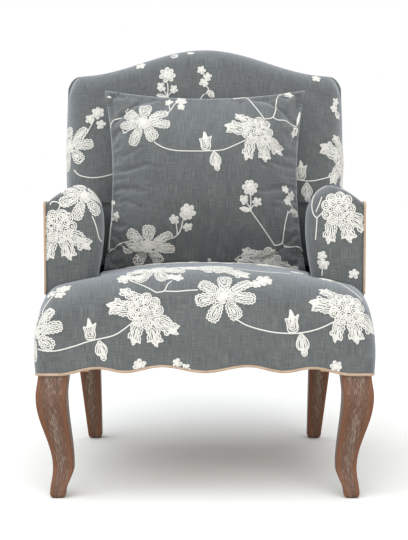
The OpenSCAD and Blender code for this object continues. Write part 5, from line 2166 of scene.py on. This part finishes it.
@dataclass
class Leg:
    """A solid leg of square section with eased edges, lofted from its foot up to the seat frame."""

    word: str
    side: int
    kind: str = "rear_leg"
    rings: int = 90
    ease: float = 3.2
    glide: float = 3.0
    bevel: float = 2.0
    bevel_h: float = 5.0

    def section(self, z: float) -> tuple[float, float, float]:
        """Inner x, front y and width at a height, for the right-hand side."""
        raise NotImplementedError

    def ring(self, z: float) -> tuple[np.ndarray, np.ndarray]:
        """Points of the section at a height.

        Args:
            z: The height.

        Returns:
            The points, and for each the share of rubbed edge.
        """
        x0, y0, width = self.section(z)
        e, run = self.ease, width - 2 * self.ease
        turn = np.linspace(0, math.pi / 2, 5)
        steps = np.array([0.06, 0.18, 0.5, 0.82, 0.94])
        worn = np.array([0.8, 0.3, 0.0, 0.3, 0.8])
        points, rubbed = [], []
        for k, (ex, ey) in enumerate(((0, 0), (1, 0), (1, 1), (0, 1))):
            cx, cy = x0 + e + ex * run, y0 + e + ey * run
            a = math.pi + k * math.pi / 2 + turn
            points += [(cx + e * math.cos(t), cy + e * math.sin(t), z) for t in a]
            ahead = np.array([math.cos(k * math.pi / 2), math.sin(k * math.pi / 2)])
            start = np.array([cx, cy]) + e * np.array([ahead[1], -ahead[0]])
            points += [(*(start + ahead * run * t), z) for t in steps]
            rubbed += [1.0] * 5 + worn.tolist()
        return np.array(points), np.array(rubbed)

    def dress(self, material: bpy.types.Material) -> None:
        """Make the leg with its ends closed."""
        foot = np.linspace(self.glide, self.glide + self.bevel_h, 4)[:-1]
        heights = np.concatenate([foot, np.linspace(self.glide + self.bevel_h, FORM.frame_z, self.rings)])
        sections = [self.ring(float(z)) for z in heights]
        points = np.array([ring for ring, _ in sections])
        rubbed = np.concatenate([worn for _, worn in sections]).astype(np.float32)
        around = run_length(points, 1)
        flat = np.stack([around - around[:, 7:8], points[..., 2]], -1)
        points[..., 0] *= self.side
        rows, m = points.shape[:2]
        quads = ring_quads(rows, m)
        corners = (quads if self.side > 0 else quads[:, ::-1]).tolist()
        bottom, top = list(range(m)), list(range((rows - 1) * m, rows * m))
        corners += [bottom[:: -self.side], top[:: self.side]]
        points, flat = points.reshape(-1, 3), flat.reshape(-1, 2)
        piece = build_mesh(f"{self.word}_{self.kind}_wood", points, corners, flat)
        piece.data.attributes.new("rubbed", "FLOAT", "POINT").data.foreach_set("value", rubbed)
        piece.data.polygons.foreach_set("use_smooth", [True] * (len(corners) - 2) + [False] * 2)
        dress(piece, material)
        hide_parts(f"{self.word}_{self.kind}")


@dataclass
class CabrioleLeg(Leg):
    """Front leg that swings out at the knee and in at the ankle."""

    kind: str = "front_leg"
    top_w: float = 61.0
    ankle: tuple[float, float, float] = (62.0, 42.0, 31.0)
    knee_z: float = 216.0
    foot_w: float = 32.0
    foot_in: float = 25.0
    set_in: float = 4.0
    top_in: float = 5.0

    def section(self, z: float) -> tuple[float, float, float]:
        """Inner x, front y and width at a height, for the right-hand side."""
        low, high = self.glide, self.glide + self.bevel_h
        ankle_z, ankle_w, ankle_in = self.ankle
        heights = (low, high, ankle_z, self.knee_z, FORM.frame_z)
        insets = (self.foot_in + self.bevel, self.foot_in, ankle_in, 0.0, self.top_in)
        widths = (self.foot_w - 2 * self.bevel, self.foot_w, ankle_w, self.top_w + 1, self.top_w)
        inset, width = (through(list(zip(heights, values)), z) for values in (insets, widths))
        outer = FORM.seat_w / 2 - self.set_in - float(inset)
        return outer - float(width), self.set_in + float(inset), float(width)


@dataclass
class RakedLeg(Leg):
    """Rear leg that tapers and runs back to its foot."""

    inner_x: float = 256.0
    top_y: float = FORM.frame_d - 69
    top_w: float = 58.0
    foot_w: float = 33.0
    kick: float = 64.0

    def section(self, z: float) -> tuple[float, float, float]:
        """Inner x, front y and width at a height, for the right-hand side."""
        share = max(0.0, (z - self.glide) / (FORM.frame_z - self.glide))
        cut = self.bevel * max(0.0, 1 - (z - self.glide) / self.bevel_h)
        width = blend_values(self.foot_w, self.top_w, share) - 2 * cut
        foot_y = self.top_y + self.top_w / 2 + self.kick - self.foot_w / 2
        return self.inner_x + cut, blend_values(foot_y, self.top_y, share) + cut, width


# Inside and underside


def dress_inner_nodes(nodes: dict[str, bpy.types.Object]) -> None:
    """Give every CAD node that stays its own finish.

    Args:
        nodes: The CAD nodes by name.
    """
    groups = {
        InnerFinish.PLANED_BEECH: (
            "front_rail", "left_side_rail", "right_side_rail", "rear_rail", "corner_blocks",
            "left_back_post", "right_back_post", "crest_rail", "lower_back_rail", "left_arm_post",
            "right_arm_post", "left_arm_rail", "right_arm_rail", "left_arm_liner", "right_arm_liner",
        ),
        InnerFinish.UPHOLSTERY_FOAM: (
            "edge_roll", "rail_padding", "seat_foam", "back_foam", "left_arm_foam", "right_arm_foam",
            "left_arm_front_pad", "right_arm_front_pad",
        ),
        InnerFinish.NEEDLED_FELT: ("spring_cover",),
        InnerFinish.JUTE_WEBBING: ("back_webbing",),
        InnerFinish.BLACK_CAMBRIC: ("dust_cover",),
        InnerFinish.DRAWN_STEEL: ("seat_springs", "spring_clips", "spring_tie_wires"),
        InnerFinish.ZINC_PLATED_STEEL: ("leg_bolts", "leg_washers", "leg_nuts"),
        InnerFinish.MOULDED_NYLON: ("glides",),
    }
    for finish, names in groups.items():
        material = finish.value.material()
        for name in names:
            nodes[name].data.materials.clear()
            nodes[name].data.materials.append(material)
        LOG.info("%s: %d nodes", finish.name, len(names))


# Studio


@dataclass(frozen=True)
class Softbox:
    """Even soft light from one direction.

    The tilt leans to the right and to the rear from straight above, and the spread is the angle over
    which the light comes, all in degrees.
    """

    name: str
    tilt: tuple[float, float]
    spread: float
    strength: float
    colour: tuple[float, float, float]

    def build(self) -> None:
        """Hang the lamp."""
        data = bpy.data.lights.new(self.name, "SUN")
        data.color = self.colour
        data.angle = math.radians(self.spread)
        data.energy = self.strength
        lamp = link_piece(self.name, data)
        right, rear = (math.tan(math.radians(a)) for a in self.tilt)
        lamp.rotation_euler = Vector((-right, -rear, -1)).to_track_quat("-Z", "Y").to_euler()
        lamp.location = (0, 0, 3)


@dataclass
class Studio:
    """Pale floor, soft light and the camera at the photograph's viewing angle."""

    view: PhotoView = field(default_factory=PhotoView)
    sensor_mm: float = 24.0
    sky: float = 0.58
    floor_half_m: float = 14.0
    floor_colour: str = "F0EFEC"
    lamps: tuple[Softbox, ...] = (
        Softbox("overhead_softbox", (-14.0, -25.0), 80.0, 2.8, (0.92, 0.97, 1.0)),
        Softbox("front_softbox", (12.0, -72.0), 60.0, 1.5, (1.0, 0.96, 0.89)),
    )

    def build(self) -> None:
        """Make the floor, the lamps, the world and the camera."""
        self._floor()
        self._world()
        for lamp in self.lamps:
            lamp.build()
        self._camera()

    def _floor(self) -> None:
        """Large pale floor that keeps the chair's shadow."""
        data = bpy.data.meshes.new("studio_floor")
        r = self.floor_half_m
        data.from_pydata([(-r, -r, 0), (r, -r, 0), (r, r, 0), (-r, r, 0)], [], [(0, 1, 2, 3)])
        floor = link_piece("studio_floor", data)
        s = Shader(bpy.data.materials.new("pale_floor"))
        surface = s.add("BsdfPrincipled", {"Base Color": srgb(self.floor_colour), "Roughness": 0.9})
        data.materials.append(s.finish(surface))

    def _world(self) -> None:
        """White behind the chair for the camera, plain grey light for everything else."""
        world = bpy.data.worlds.new("studio")
        s = Shader(world)
        seen: bpy.types.NodeSocket | float = 0.0
        for ray in ("Is Camera Ray", "Is Glossy Ray", "Is Transmission Ray"):
            seen = s.add("Math", {0: s.add("LightPath", out=ray), 1: seen}, operation="MAXIMUM")
        light = s.add("Background", {"Color": (0.98, 0.99, 1.0, 1), "Strength": self.sky})
        white = s.add("Background", {"Color": (1, 1, 1, 1), "Strength": 1.0})
        s.finish(s.add("MixShader", {0: seen, 1: light, 2: white}))
        bpy.context.scene.world = world

    def _camera(self) -> None:
        """Camera of the photograph, which looks a little down."""
        v = self.view
        data = bpy.data.cameras.new("photo_camera")
        data.sensor_fit = "VERTICAL"
        data.sensor_height = self.sensor_mm
        data.lens = v.focal_px * self.sensor_mm / v.frame_px[1]
        camera = link_piece("photo_camera", data)
        camera.location = (v.eye_x * MM, (-v.distance - FORM.depth / 2) * MM, v.eye_z * MM)
        camera.rotation_euler = (math.pi / 2 - v.pitch, 0, 0)
        bpy.context.scene.camera = camera


def main() -> None:
    """Build the chair's pieces in order and the studio round it."""
    logging.basicConfig(level=logging.INFO, format="%(message)s")
    bpy.context.scene.view_settings.view_transform = "Standard"
    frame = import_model()
    finishes = Finishes()
    dress_inner_nodes(frame["nodes"])
    seat, back, pillow = Seat(), Back(), ThrowPillow()
    seat.build()
    back.build()
    seat.dress(finishes)
    back.dress(finishes)
    for side in (-1, 1):
        arm = Arm(side)
        arm.build()
        arm.dress(finishes)
    for side, word in ((-1, "left"), (1, "right")):
        CabrioleLeg(word, side).dress(finishes.knotty_oak if side < 0 else finishes.oak)
        RakedLeg(word, side).dress(finishes.oak)
    pillow.build(seat)
    pillow.dress(finishes)
    Studio().build()


if __name__ == "__main__":
    main()
